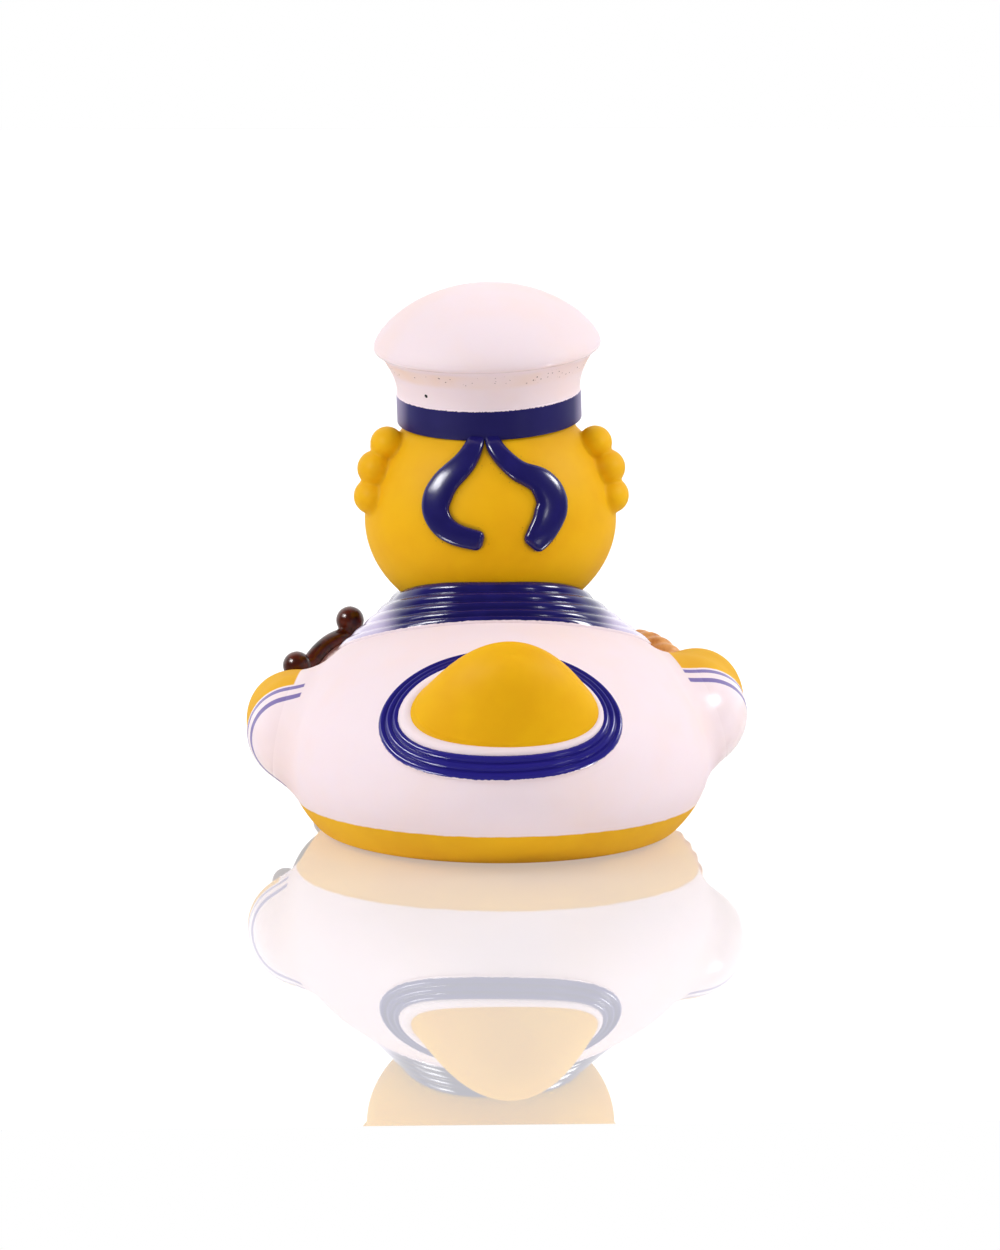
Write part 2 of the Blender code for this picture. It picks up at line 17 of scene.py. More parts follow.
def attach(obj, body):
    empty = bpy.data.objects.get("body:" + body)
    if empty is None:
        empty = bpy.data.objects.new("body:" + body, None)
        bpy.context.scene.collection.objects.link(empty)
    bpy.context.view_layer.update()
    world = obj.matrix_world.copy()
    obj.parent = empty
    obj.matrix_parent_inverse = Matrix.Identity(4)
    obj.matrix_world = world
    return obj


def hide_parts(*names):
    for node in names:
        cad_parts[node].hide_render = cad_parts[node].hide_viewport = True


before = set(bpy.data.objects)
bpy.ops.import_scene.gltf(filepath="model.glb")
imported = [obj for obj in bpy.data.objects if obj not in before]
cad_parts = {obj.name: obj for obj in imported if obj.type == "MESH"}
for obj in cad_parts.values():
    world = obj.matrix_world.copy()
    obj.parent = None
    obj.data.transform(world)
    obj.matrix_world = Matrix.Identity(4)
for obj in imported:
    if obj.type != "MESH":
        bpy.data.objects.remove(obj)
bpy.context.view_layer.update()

MM = 0.001

# %% [markdown]
# ## Sizes
# The construction script holds the sizes that matter, and this notebook can't read it. So the same
# sizes are written here once more, in millimetres times MM, and every piece below takes its shape
# from them. The duck faces -Y, its own left is +X, and it stands on z = 0.

# %% Body, head and cap sizes
BODY_HALF_WIDTH = 35.2 * MM
BODY_HALF_LENGTH = 42.0 * MM
BODY_HALF_HEIGHT = 24.5 * MM
BODY_AXIS_HEIGHT = 14.0 * MM
BODY_FORWARD_AT_FLOOR = 4.5 * MM
BASE_EDGE_ROUND = 1.4 * MM
HEAD_CENTRE = (0.9 * MM, -10.0 * MM, 51.4 * MM)
HEAD_HALF_WIDTH = 20.9 * MM
HEAD_HALF_DEPTH = 20.5 * MM
HEAD_UP = 20.9 * MM
HEAD_DOWN = 17.5 * MM
CAP_SEAT = (1.06 * MM, -10.0 * MM, 68.1 * MM)
CAP_LEAN = math.radians(7.3)
CAP_ROLL = math.radians(2.1)
CAP_BAND_RADIUS = 15.3 * MM
CAP_BAND_HEIGHT = 4.9 * MM
CAP_SIDE_TOP = 11.7 * MM
CAP_RIM_RADIUS = 18.8 * MM
CAP_RIM_ROUND = 0.9 * MM
CAP_TOP = 22.5 * MM

# %% Trim, tail and arm sizes
COLLAR_X = 0.2 * MM
COLLAR_NECK_HEIGHT = 39.0 * MM
COLLAR_RISE_BEHIND = 3.7 * MM
COLLAR_DROP_IN_FRONT = 1.0 * MM
COLLAR_HALF_WIDTH = 25.9 * MM
COLLAR_DEPTH_BACK = 24.0 * MM
COLLAR_DEPTH_FRONT = 21.0 * MM
COLLAR_PROUD = 0.35 * MM
OVAL_CENTRE = (1.04 * MM, 31.5 * MM, 22.9 * MM)
OVAL_SLOPE = math.radians(40.0)
OVAL_TURN = math.radians(1.5)
OVAL_OUTSIDE = (19.4 * MM, 12.1 * MM, 12.6 * MM)
OVAL_INSIDE = (16.15 * MM, 9.7 * MM, 9.3 * MM)
LIP_INSIDE = (14.6 * MM, 8.0 * MM, 7.9 * MM)
TAIL_FOOT = (15.5 * MM, 8.9 * MM, 9.1 * MM)
TAIL_SIDEWAYS = -0.8 * MM
TAIL_TIP = (-0.3 * MM, 39.2 * MM, 35.6 * MM)
SLEEVE_OUT = 31.2 * MM
SLEEVE_FORWARD = 5.0 * MM
SLEEVE_RADIUS = 10.4 * MM
SLEEVE_HALF_LENGTH = 14.5 * MM
SLEEVE_HEIGHTS = {1: 16.6 * MM, -1: 19.0 * MM}
HAND_OUT = 34.0 * MM
HAND_FORWARD = 14.0 * MM
HAND_ABOVE_SLEEVES = {1: 1.2 * MM, -1: 2.2 * MM}
HAND_RADIUS = 7.4 * MM
HAND_HALF_LENGTH = 9.5 * MM

# %% Sizes of what the hands hold, and of the face
WHEEL_CENTRE = (26.0 * MM, -27.3 * MM, 17.3 * MM)
WHEEL_HANDLES = 6
WHEEL_HANDLE_TURN = math.radians(35.0)
WHEEL_HANDLE_RADIUS = 14.8 * MM
WHEEL_RIM_RADIUS = 12.0 * MM
WHEEL_RIM_THICKNESS = 3.0 * MM
WHEEL_KNOB_RADIUS = 2.4 * MM
WHEEL_HUB_RADIUS = 3.6 * MM
WHEEL_SPOKE_WIDTH = 2.2 * MM
COIL_CENTRE = (-26.3 * MM, -26.6 * MM, 16.3 * MM)
COIL_RADIUS = 11.6 * MM
ROPE_RADIUS = 2.35 * MM
HELD_TURN = math.radians(50.0)
HELD_TIP = math.radians(6.0)
BOSS_DEPTH = 9.0 * MM
BOSS_TAPER = 3.0 * MM
BEAK_HALF_WIDTH = 9.0 * MM
BEAK_REACH = 11.9 * MM
BEAK_HALF_THICKNESS = 2.8 * MM
EYE_SPREAD = 7.6 * MM
EYE_RISE = 6.0 * MM
EYE_RADIUS = 2.9 * MM
EYE_RAISE = 0.7 * MM

# %% [markdown]
# ## Forms as fields
# A vinyl moulding has no hard corners: where an arm leaves the body, the mould is rounded. Boolean
# unions leave a sharp crease there, and bevels on a Boolean are fragile. So the soft forms are
# written as fields. A field says how far any point lies outside a form, and a smooth minimum of
# two fields is both forms with a fillet between them.

# %% Eggs
class Egg:
    """An ellipsoid whose upper and lower halves may differ in height, as a field and as a surface."""

    def __init__(self, centre, half_width, half_depth, up, down):
        self.centre = np.array(centre, float)
        self.half_width, self.half_depth, self.up, self.down = half_width, half_depth, up, down

    def radii(self, rise):
        height = np.where(rise >= 0, self.up, self.down)
        return np.stack([np.full_like(height, self.half_width), np.full_like(height, self.half_depth), height], -1)

    def distance(self, points):
        """About how far each point lies outside."""
        offset = points - self.centre
        radii = self.radii(offset[..., 2])
        reach = np.linalg.norm(offset / radii, axis=-1)
        slope = np.linalg.norm(offset / radii**2, axis=-1) + 1e-9
        return reach * (reach - 1) / slope

    def normal(self, points):
        offset = points - self.centre
        gradient = offset / self.radii(offset[..., 2]) ** 2
        return gradient / np.linalg.norm(gradient, axis=-1, keepdims=True)

    def facing(self, across, rise, side):
        """Points on the surface this far across and up from the centre. Side 1 is the back, -1 the front."""
        height = self.radii(rise)[..., 2]
        share = np.clip(1 - (across / self.half_width) ** 2 - (rise / height) ** 2, 0, None)
        return self.centre + np.stack([across, side * self.half_depth * np.sqrt(share), rise], -1)

    def over(self, x, y):
        """Points of the upper surface over x, y."""
        share = 1 - ((x - self.centre[0]) / self.half_width) ** 2 - ((y - self.centre[1]) / self.half_depth) ** 2
        return np.stack([x, y, self.centre[2] + self.up * np.sqrt(np.clip(share, 0, None))], -1)

    def along(self, start, direction):
        """Where lines from start, along direction, leave the surface."""
        radii = self.radii(np.ones(start.shape[:-1]))
        near, step = (start - self.centre) / radii, direction / radii
        square, half = (step * step).sum(-1), (near * step).sum(-1)
        root = np.sqrt(np.clip(half**2 - square * ((near * near).sum(-1) - 1), 0, None))
        return start + direction * ((root - half) / square)[..., None]


body_egg = Egg((0, 0, BODY_AXIS_HEIGHT), BODY_HALF_WIDTH, BODY_HALF_LENGTH, BODY_HALF_HEIGHT, BODY_HALF_HEIGHT)
head_egg = Egg(HEAD_CENTRE, HEAD_HALF_WIDTH, HEAD_HALF_DEPTH, HEAD_UP, HEAD_DOWN)
print("head top is", round((HEAD_CENTRE[2] + HEAD_UP) / MM, 1), "mm above the floor")

# %% Joining and cutting fields
def smooth_min(first, second, blend):
    """Both forms, with a fillet about as large as blend where they meet."""
    overlap = np.clip(blend - np.abs(first - second), 0, None) / blend
    return np.minimum(first, second) - overlap**2 * blend / 4


def smooth_max(first, second, blend):
    """Only what both forms share, with its edge rounded."""
    return -smooth_min(-first, -second, blend)


# %% Places of the held things
def held_place(centre, sign):
    """Turns a form's own +Z outwards from the front corner of the body on this side."""
    turn = Matrix.Rotation(sign * HELD_TURN, 4, "Z")
    lean = Matrix.Rotation(math.pi / 2 - HELD_TIP, 4, "X")
    return Matrix.Translation(centre) @ turn @ lean


def moved(points, matrix):
    """Points, carried by a matrix."""
    grid = np.array(matrix)
    return points @ grid[:3, :3].T + grid[:3, 3]


wheel_place = held_place(WHEEL_CENTRE, 1)
coil_place = held_place(COIL_CENTRE, -1)

# %% [markdown]
# ## From a field to a mesh
# Blender's voxel remesh turns overlapping closed shapes into one even skin of small squares. Its
# points sit only roughly on the form, so each is then moved down the slope of the field until the
# field reads zero. Between those moves the points are evened out, which keeps the squares regular
# and the reflections clean.

# %% Mesh helpers
def new_piece(name, points, faces, material=None):
    """A smooth-shaded mesh object at the origin, with its faces turned outwards."""
    mesh = bpy.data.meshes.new(name)
    mesh.from_pydata(np.asarray(points).tolist(), [], np.asarray(faces).tolist())
    if material:
        mesh.materials.append(material)
    tidy = bmesh.new()
    tidy.from_mesh(mesh)
    bmesh.ops.remove_doubles(tidy, verts=tidy.verts, dist=0.001 * MM)
    bmesh.ops.recalc_face_normals(tidy, faces=tidy.faces)
    tidy.to_mesh(mesh)
    tidy.free()
    mesh.shade_smooth()
    piece = bpy.data.objects.new(name, mesh)
    bpy.context.scene.collection.objects.link(piece)
    return piece


def grid_faces(rows, columns, loop_rows=False):
    """Faces over a grid of points whose columns close into a ring."""
    i, j = np.meshgrid(np.arange(rows if loop_rows else rows - 1), np.arange(columns), indexing="ij")
    down, right = (i + 1) % rows, (j + 1) % columns
    corners = (i * columns + j, down * columns + j, down * columns + right, i * columns + right)
    return np.stack([corner.ravel() for corner in corners], axis=1)


def places(mesh):
    """A mesh's points as an array."""
    points = np.empty(len(mesh.vertices) * 3)
    mesh.vertices.foreach_get("co", points)
    return points.reshape(-1, 3)


def give(piece, name, values):
    """Stores one number for each point, which the materials read by name."""
    attribute = piece.data.attributes.new(name, "FLOAT", "POINT")
    attribute.data.foreach_set("value", np.asarray(values, np.float32))


def plain_mesh(piece):
    """Makes what the modifiers give the piece's own mesh, and removes them."""
    graph = bpy.context.evaluated_depsgraph_get()
    mesh = bpy.data.meshes.new_from_object(piece.evaluated_get(graph), depsgraph=graph)
    piece.modifiers.clear()
    piece.data = mesh
    mesh.shade_smooth()
    return piece


# %% Egg seeds and the mould itself
def egg_seed(egg, around=48, levels=24):
    """Points and faces of an egg, which the remesh starts from."""
    turn = math.tau * np.arange(around) / around
    fall = math.pi * np.arange(levels + 1) / levels
    rise = np.cos(fall)[:, None]
    level = np.sin(fall)[:, None]
    height = np.where(rise >= 0, egg.up, egg.down) * rise
    across = egg.half_width * level * np.cos(turn)
    back = egg.half_depth * level * np.sin(turn)
    points = egg.centre + np.stack([across, back, np.broadcast_to(height, across.shape)], -1)
    return points.reshape(-1, 3), grid_faces(levels + 1, around)


def evened(points, edges, strength=0.5):
    """Moves each point towards the middle of its neighbours."""
    total = np.zeros_like(points)
    count = np.bincount(edges.ravel(), minlength=len(points))[:, None]
    for axis in range(3):
        total[:, axis] += np.bincount(edges[:, 0], points[edges[:, 1], axis], len(points))
        total[:, axis] += np.bincount(edges[:, 1], points[edges[:, 0], axis], len(points))
    return points + strength * (total / count - points)


def settled(points, field, steps=3, nudge=0.02 * MM):
    """Moves points down the slope of the field until it reads zero."""
    for _ in range(steps):
        slopes = [field(points + shift) - field(points - shift) for shift in nudge * np.eye(3)]
        slope = np.stack(slopes, axis=1) / (2 * nudge)
        steepness = np.clip((slope**2).sum(axis=1), 0.2, None)
        points = points - slope * (field(points) / steepness)[:, None]
    return points


def moulding(name, seeds, field, voxel, material, rounds=4):
    """One closed skin over overlapping seeds, settled on the field."""
    points = np.concatenate([seed[0] for seed in seeds])
    starts = np.cumsum([0] + [len(seed[0]) for seed in seeds[:-1]])
    faces = np.concatenate([seed[1] + start for seed, start in zip(seeds, starts)])
    piece = new_piece(name, points, faces, material)
    remesh = piece.modifiers.new("one_skin", "REMESH")
    remesh.mode = "VOXEL"
    remesh.voxel_size = voxel
    plain_mesh(piece)
    mesh = piece.data
    edges = np.empty(len(mesh.edges) * 2, np.int32)
    mesh.edges.foreach_get("vertices", edges)
    edges = edges.reshape(-1, 2)
    skin = places(mesh)
    for _ in range(rounds):
        skin = evened(skin, edges)
        if field:
            skin = settled(skin, field)
    mesh.vertices.foreach_set("co", skin.ravel())
    mesh.update()
    print(name, "has", len(mesh.polygons), "faces")
    return piece


# %% [markdown]
# ## Node trees
# Both kinds of tree below, for shapes and for materials, are built with the same short helper: each
# call adds one node, sets it, links its inputs and gives back an output.

# %% A short way to write node trees
class Tree:
    def __init__(self, tree):
        self.tree = tree

    def feed(self, socket, value):
        if isinstance(value, bpy.types.NodeSocket):
            self.tree.links.new(value, socket)
        else:
            socket.default_value = value

    def add(self, kind, inputs=None, output=0, **settings):
        node = self.tree.nodes.new(kind)
        for name, value in settings.items():
            setattr(node, name, value)
        for key, value in (inputs or {}).items():
            self.feed(node.inputs[key], value)
        return node.outputs[output]

    def maths(self, operation, *values):
        return self.add("ShaderNodeMath", dict(enumerate(values)), operation=operation)

    def vectors(self, operation, *values, output=0):
        return self.add("ShaderNodeVectorMath", dict(enumerate(values)), output, operation=operation)

    def ramp(self, value, low, high, start=0.0, end=1.0):
        """Takes value from low..high to start..end, with soft ends."""
        inputs = {"Value": value, "From Min": low, "From Max": high, "To Min": start, "To Max": end}
        return self.add("ShaderNodeMapRange", inputs, interpolation_type="SMOOTHSTEP")

    def mix(self, share, first, second):
        """A colour that goes from first to second."""
        inputs = {0: share, 6: first, 7: second}
        return self.add("ShaderNodeMix", inputs, 2, data_type="RGBA")

    def blend(self, share, first, second):
        """A number that goes from first to second."""
        return self.add("ShaderNodeMix", {0: share, 2: first, 3: second}, 0, data_type="FLOAT")


def new_group(name, kind, inputs, outputs):
    """A node group with named sockets, its Group Input node and a function that closes it."""
    group = bpy.data.node_groups.new(name, kind)
    for label, socket, value in inputs:
        made = group.interface.new_socket(label, in_out="INPUT", socket_type=socket)
        if value is not None:
            made.default_value = value
    for label, socket in outputs:
        group.interface.new_socket(label, in_out="OUTPUT", socket_type=socket)
    tree = Tree(group)
    given = group.nodes.new("NodeGroupInput").outputs
    close = group.nodes.new("NodeGroupOutput")
    return group, tree, given, close


def run_tree(piece, group, values):
    """Puts a shape tree on a piece with these input values, and makes its result a plain mesh."""
    modifier = piece.modifiers.new(group.name, "NODES")
    modifier.node_group = group
    for socket in group.interface.items_tree:
        if socket.item_type == "SOCKET" and socket.in_out == "INPUT" and socket.name in values:
            modifier[socket.identifier] = values[socket.name]
    return plain_mesh(piece)


FLOAT, VECTOR, COLOUR = "NodeSocketFloat", "NodeSocketVector", "NodeSocketColor"
GEOMETRY, MATERIAL, WHOLE = "NodeSocketGeometry", "NodeSocketMaterial", "NodeSocketInt"

# %% [markdown]
# ## Paint
# Four things make this duck look hand painted, and each is a shader group that several materials
# use. A masked edge is never quite straight: paint creeps under the mask. White paint over yellow
# vinyl is thin in places, so it warms to peach. Dust and overspray leave specks. And no painted
# surface is optically flat: it has a faint orange peel that breaks up a highlight.

# %% Shared effect: a ragged paint edge
paint_edge, tree, given, close = new_group(
    "paint_edge",
    "ShaderNodeTree",
    [("Distance", FLOAT, 0.0), ("Raggedness", FLOAT, 0.2 * MM), ("Grain", FLOAT, 0.5 * MM), ("Softness", FLOAT, 0.05 * MM)],
    [("Mask", FLOAT)],
)
place = tree.add("ShaderNodeTexCoord", output=3)
scale = tree.maths("DIVIDE", 1.0, given["Grain"])
noise = tree.add("ShaderNodeTexNoise", {"Vector": place, "Scale": scale, "Detail": 3.0, "Roughness": 0.6})
wander = tree.maths("MULTIPLY", tree.maths("SUBTRACT", noise, 0.5), tree.maths("MULTIPLY", given["Raggedness"], 4.0))
edge = tree.maths("ADD", given["Distance"], wander)
mask = tree.ramp(edge, tree.maths("MULTIPLY", given["Softness"], -1.0), given["Softness"])
tree.feed(close.inputs["Mask"], mask)
print("paint_edge has", len(paint_edge.nodes), "nodes")

# %% Shared effect: specks
specks, tree, given, close = new_group(
    "specks",
    "ShaderNodeTree",
    [("Spacing", FLOAT, 4 * MM), ("Size", FLOAT, 0.15 * MM), ("Share", FLOAT, 0.3)],
    [("Mask", FLOAT)],
)
place = tree.add("ShaderNodeTexCoord", output=3)
cells = tree.tree.nodes.new("ShaderNodeTexVoronoi")
tree.feed(cells.inputs["Vector"], place)
tree.feed(cells.inputs["Scale"], tree.maths("DIVIDE", 1.0, given["Spacing"]))
chance = tree.add("ShaderNodeSeparateColor", {"Color": cells.outputs["Color"]})
radius = tree.maths("DIVIDE", given["Size"], given["Spacing"])
radius = tree.maths("MULTIPLY", radius, tree.ramp(chance, 0.0, given["Share"], 1.0, 0.25))
inside = tree.maths("LESS_THAN", cells.outputs["Distance"], radius)
chosen = tree.maths("LESS_THAN", chance, given["Share"])
tree.feed(close.inputs["Mask"], tree.maths("MULTIPLY", inside, chosen))
print("specks has", len(specks.nodes), "nodes")

# %% Shared effect: thin paint over a warmer ground
thin_paint, tree, given, close = new_group(
    "thin_paint",
    "ShaderNodeTree",
    [("Paint", COLOUR, (1, 1, 1, 1)), ("Ground", COLOUR, (1, 1, 1, 1)), ("Patch size", FLOAT, 15 * MM), ("Thinness", FLOAT, 0.3)],
    [("Color", COLOUR)],
)
place = tree.add("ShaderNodeTexCoord", output=3)
scale = tree.maths("DIVIDE", 1.0, given["Patch size"])
patches = tree.add("ShaderNodeTexNoise", {"Vector": place, "Scale": scale, "Detail": 3.0, "Roughness": 0.55})
share = tree.maths("MULTIPLY", tree.ramp(patches, 0.35, 0.75), given["Thinness"])
tree.feed(close.inputs["Color"], tree.mix(share, given["Paint"], given["Ground"]))
print("thin_paint has", len(thin_paint.nodes), "nodes")

# %% Shared effect: orange peel
orange_peel, tree, given, close = new_group(
    "orange_peel",
    "ShaderNodeTree",
    [("Wave size", FLOAT, 2 * MM), ("Depth", FLOAT, 0.01 * MM), ("Strength", FLOAT, 1.0)],
    [("Normal", VECTOR)],
)
place = tree.add("ShaderNodeTexCoord", output=3)
scale = tree.maths("DIVIDE", 1.0, given["Wave size"])
waves = tree.add("ShaderNodeTexNoise", {"Vector": place, "Scale": scale, "Detail": 2.0, "Roughness": 0.45})
height = tree.maths("MULTIPLY", waves, given["Depth"])
bump = tree.add("ShaderNodeBump", {"Height": height, "Strength": given["Strength"], "Distance": 1.0})
tree.feed(close.inputs["Normal"], bump)
print("orange_peel has", len(orange_peel.nodes), "nodes")

# %% [markdown]
# ## The colours
# Each is written as it looks on a screen and turned into light. The white isn't neutral: it is a
# cool pinkish white, and the vinyl under it is a warm egg-yolk yellow.

# %% Colours
def light(red, green, blue):
    """A screen colour, 0 to 255, as the light values that Blender works in."""
    shares = (channel / 255 for channel in (red, green, blue))
    return (*(s / 12.92 if s <= 0.04045 else ((s + 0.055) / 1.055) ** 2.4 for s in shares), 1.0)


YELLOW = light(236, 178, 6)
YELLOW_DEEP = light(218, 146, 2)
WHITE = light(240, 222, 228)
WHITE_WARM = light(246, 214, 196)
NAVY = light(25, 20, 90)
NAVY_THIN = light(44, 38, 128)
STRIPE = light(118, 102, 166)
# Lavender for the navy's pale sides: thin spray and a painted reflection of the backdrop.
LAVENDER_THIN_AND_SHEEN = light(204, 190, 228)
BROWN = light(40, 17, 11)
BROWN_THIN = light(120, 40, 10)
TAN = light(228, 164, 92)
TAN_DEEP = light(190, 112, 48)
ORANGE = light(232, 112, 20)
ORANGE_DEEP = light(205, 84, 10)
GREY = light(150, 140, 140)
BLACK = light(18, 16, 18)


# %% A material from its base parts
def new_material(name, roughness, specular=0.5, subsurface=0.0):
    """A material with a Principled shader whose constants sit on its own sockets."""
    material = bpy.data.materials.new(name)
    material.use_nodes = True
    shader = material.node_tree.nodes["Principled BSDF"]
    shader.inputs["Roughness"].default_value = roughness
    shader.inputs["Specular IOR Level"].default_value = specular
    if subsurface:
        shader.inputs["Subsurface Weight"].default_value = subsurface
        shader.inputs["Subsurface Radius"].default_value = (1.0, 0.55, 0.12)
        shader.inputs["Subsurface Scale"].default_value = 1.6 * MM
    return material, Tree(material.node_tree), shader


def use(tree, group, inputs, output=0):
    """Places a shared group in a material."""
    node = tree.tree.nodes.new("ShaderNodeGroup")
    node.node_tree = group
    for name, value in inputs.items():
        tree.feed(node.inputs[name], value)
    return node.outputs[output]


def read(tree, name):
    """The number that a piece stores under this name."""
    return tree.add("ShaderNodeAttribute", output=2, attribute_name=name)


# %% Materials of one colour: tail, trim, rope, beak
def painted(name, colour, ground, patch, thinness, roughness, wave, depth, specular=0.4, subsurface=0.0):
    """Paint that is thin in patches, over the faint waves of its own drying."""
    material, tree, shader = new_material(name, roughness, specular, subsurface)
    tint = use(tree, thin_paint, {"Paint": colour, "Ground": ground, "Patch size": patch, "Thinness": thinness})
    tree.feed(shader.inputs["Base Color"], tint)
    peel = use(tree, orange_peel, {"Wave size": wave, "Depth": depth})
    tree.feed(shader.inputs["Normal"], peel)
    return material, tree, shader, tint


yellow_vinyl = painted("yellow vinyl", YELLOW, YELLOW_DEEP, 9 * MM, 0.3, 0.55, 1.2 * MM, 0.006 * MM, 0.1, 0.15)[0]
orange_paint = painted("orange paint", ORANGE, ORANGE_DEEP, 5 * MM, 0.5, 0.32, 1.5 * MM, 0.01 * MM)[0]
tan_paint = painted("tan paint", TAN, TAN_DEEP, 1.6 * MM, 0.8, 0.36, 0.8 * MM, 0.012 * MM)[0]
brown_paint = painted("brown paint", BROWN, BROWN_THIN, 3.5 * MM, 0.55, 0.2, 1.5 * MM, 0.012 * MM)[0]
ribbon_navy = painted("ribbon navy", NAVY, NAVY_THIN, 4 * MM, 0.2, 0.2, 1.6 * MM, 0.02 * MM, 0.4)[0]
print("plain paints:", [m.name for m in bpy.data.materials])

# %% Navy trim with white at its ragged edges
def thin_spray_and_sheen(tree, tint, start, end, most):
    """Navy that pales to lavender towards the duck's two sides: partly thin spray, where the spray met it at a slant,
    and partly a painted reflection of the bright backdrop at those grazing sides.
    """
    share = tree.ramp(read(tree, "aside"), start, end, 0.0, most)
    return tree.mix(share, tint, LAVENDER_THIN_AND_SHEEN)


def trim_navy(name, colour, low_edge, high_edge, band_width, thin=None):
    """Navy between two shares of the band's width, and white past them."""
    material, tree, shader, tint = painted(name, colour, NAVY_THIN, 5 * MM, 0.3, 0.15, 1.8 * MM, 0.02 * MM)
    across = read(tree, "across")
    low = tree.maths("MULTIPLY", tree.maths("SUBTRACT", across, low_edge), band_width)
    high = tree.maths("MULTIPLY", tree.maths("SUBTRACT", high_edge, across), band_width)
    ragged = {"Raggedness": 0.1 * MM, "Grain": 0.7 * MM, "Softness": 0.05 * MM}
    low = use(tree, paint_edge, {"Distance": low, **ragged})
    high = use(tree, paint_edge, {"Distance": high, **ragged})
    mask = tree.maths("MULTIPLY", low, high)
    # The navy pales at the sides: thin spray and a painted reflection of the backdrop.
    if thin:
        tint = thin_spray_and_sheen(tree, tint, *thin)
    tree.feed(shader.inputs["Base Color"], tree.mix(mask, WHITE, tint))
    return material


# %% White paint
WHITE_ROUGHNESS = 0.6


def white_paint(name, thinness, specks_share):
    """White over yellow vinyl: pinkish, warmer where it is thin, with a little dust in it."""
    material, tree, shader, tint = painted(
        name, WHITE, WHITE_WARM, 16 * MM, thinness, WHITE_ROUGHNESS, 2.5 * MM, 0.012 * MM, 0.28, 0.06
    )
    dust = use(tree, specks, {"Spacing": 7 * MM, "Size": 0.16 * MM, "Share": specks_share})
    tint = tree.mix(dust, tint, GREY)
    tree.feed(shader.inputs["Base Color"], tint)
    return material, tree, shader, tint


lip_white = white_paint("lip white", 0.2, 0.05)[0]

# %% [markdown]
# ## The body
# Body, sleeves and hands are one skin. The field is the body's egg, drawn forward at the floor, cut
# flat at z = 0 with a rounded edge, with a sleeve and a hand blended on at each side and a low boss
# behind each held thing.

# %% The body's field
sleeves = {}
hands = {}
for sign, height in SLEEVE_HEIGHTS.items():
    centre = (sign * SLEEVE_OUT, -SLEEVE_FORWARD, height)
    sleeves[sign] = Egg(centre, SLEEVE_RADIUS, SLEEVE_HALF_LENGTH, SLEEVE_RADIUS * 0.95, SLEEVE_RADIUS * 0.9)
    centre = (sign * HAND_OUT, -HAND_FORWARD, height + HAND_ABOVE_SLEEVES[sign])
    hands[sign] = Egg(centre, HAND_RADIUS, HAND_HALF_LENGTH, HAND_RADIUS, HAND_RADIUS)


def torso_field(points):
    """The body without its arms."""
    depth = np.clip((BODY_AXIS_HEIGHT - points[:, 2]) / BODY_AXIS_HEIGHT, 0, None)
    upright = points + np.stack([0 * depth, BODY_FORWARD_AT_FLOOR * depth**2, 0 * depth], -1)
    return smooth_max(body_egg.distance(upright), -points[:, 2], BASE_EDGE_ROUND)


def arm_field(points, sign):
    return smooth_min(sleeves[sign].distance(points), hands[sign].distance(points), 3.0 * MM)


def boss_field(points, place, radius):
    """The low tapering block behind a held thing."""
    local = moved(points, place.inverted())
    side = np.hypot(local[:, 0], local[:, 1]) - radius - BOSS_TAPER * local[:, 2] / BOSS_DEPTH
    ends = np.abs(local[:, 2] + BOSS_DEPTH / 2) - BOSS_DEPTH / 2
    return smooth_max(side, ends, 1.2 * MM)


def body_field(points):
    whole = torso_field(points)
    for sign in (1, -1):
        whole = smooth_min(whole, arm_field(points, sign), 3.0 * MM)
    whole = smooth_min(whole, boss_field(points, wheel_place, WHEEL_RIM_RADIUS), 1.5 * MM)
    return smooth_min(whole, boss_field(points, coil_place, COIL_RADIUS), 1.5 * MM)


# %% The body's skin
def boss_seed(place, radius):
    turn = math.tau * np.arange(40) / 40
    rings = []
    for height, size in ((0, 0.01), (0, 1), (-BOSS_DEPTH, 1 - BOSS_TAPER / radius), (-BOSS_DEPTH, 0.01)):
        rings.append(np.stack([radius * size * np.cos(turn), radius * size * np.sin(turn), 0 * turn + height], -1))
    return moved(np.concatenate(rings), place), grid_faces(4, 40)


def body_seed():
    """The body's egg, leaned forward and pressed flat at the floor."""
    points, faces = egg_seed(body_egg, 96, 48)
    depth = np.clip((BODY_AXIS_HEIGHT - points[:, 2]) / BODY_AXIS_HEIGHT, 0, 1)
    points[:, 1] -= BODY_FORWARD_AT_FLOOR * depth**2
    points[:, 2] = np.maximum(points[:, 2], 0)
    return points, faces


body_seeds = [body_seed()]
body_seeds += [egg_seed(egg) for egg in (*sleeves.values(), *hands.values())]
body_seeds += [boss_seed(wheel_place, WHEEL_RIM_RADIUS), boss_seed(coil_place, COIL_RADIUS)]

# %% [markdown]
# ## What the body's paint needs to know
# The suit is sprayed through masks, and a mask follows the form. Each point of the skin stores how
# far out on an arm it is and how far past the cuff, so the cuff's two stripes run round the sleeve
# and stop in the crease. It also stores how near it is to the wheel and the rope, where their paint
# strays onto the white.

# %% Cuff directions
CUFF_AXES = {1: (-0.40, -0.90, 0.17), -1: (0.355, -0.786, 0.506)}
CUFF_AT = {1: -10.3 * MM, -1: 1.1 * MM}
HAND_PAINT_STOPS = {1: 1.8 * MM, -1: 0.0}


def arm_values(points):
    """For each point: how far it is onto an arm, and how far past that arm's cuff."""
    on_arm = np.full(len(points), -1.0)
    past_cuff = np.full(len(points), -1.0)
    for sign in (1, -1):
        side = points[:, 0] * sign > 0
        axis = np.array(CUFF_AXES[sign]) / np.linalg.norm(CUFF_AXES[sign])
        on_arm[side] = (torso_field(points) - arm_field(points, sign))[side]
        past_cuff[side] = (points @ axis - CUFF_AT[sign])[side]
    return on_arm, past_cuff


def gap_to_ring(points, place, radius, thickness):
    """How far each point lies from a ring of this thickness."""
    local = moved(points, place.inverted())
    return np.hypot(np.hypot(local[:, 0], local[:, 1]) - radius, local[:, 2]) - thickness


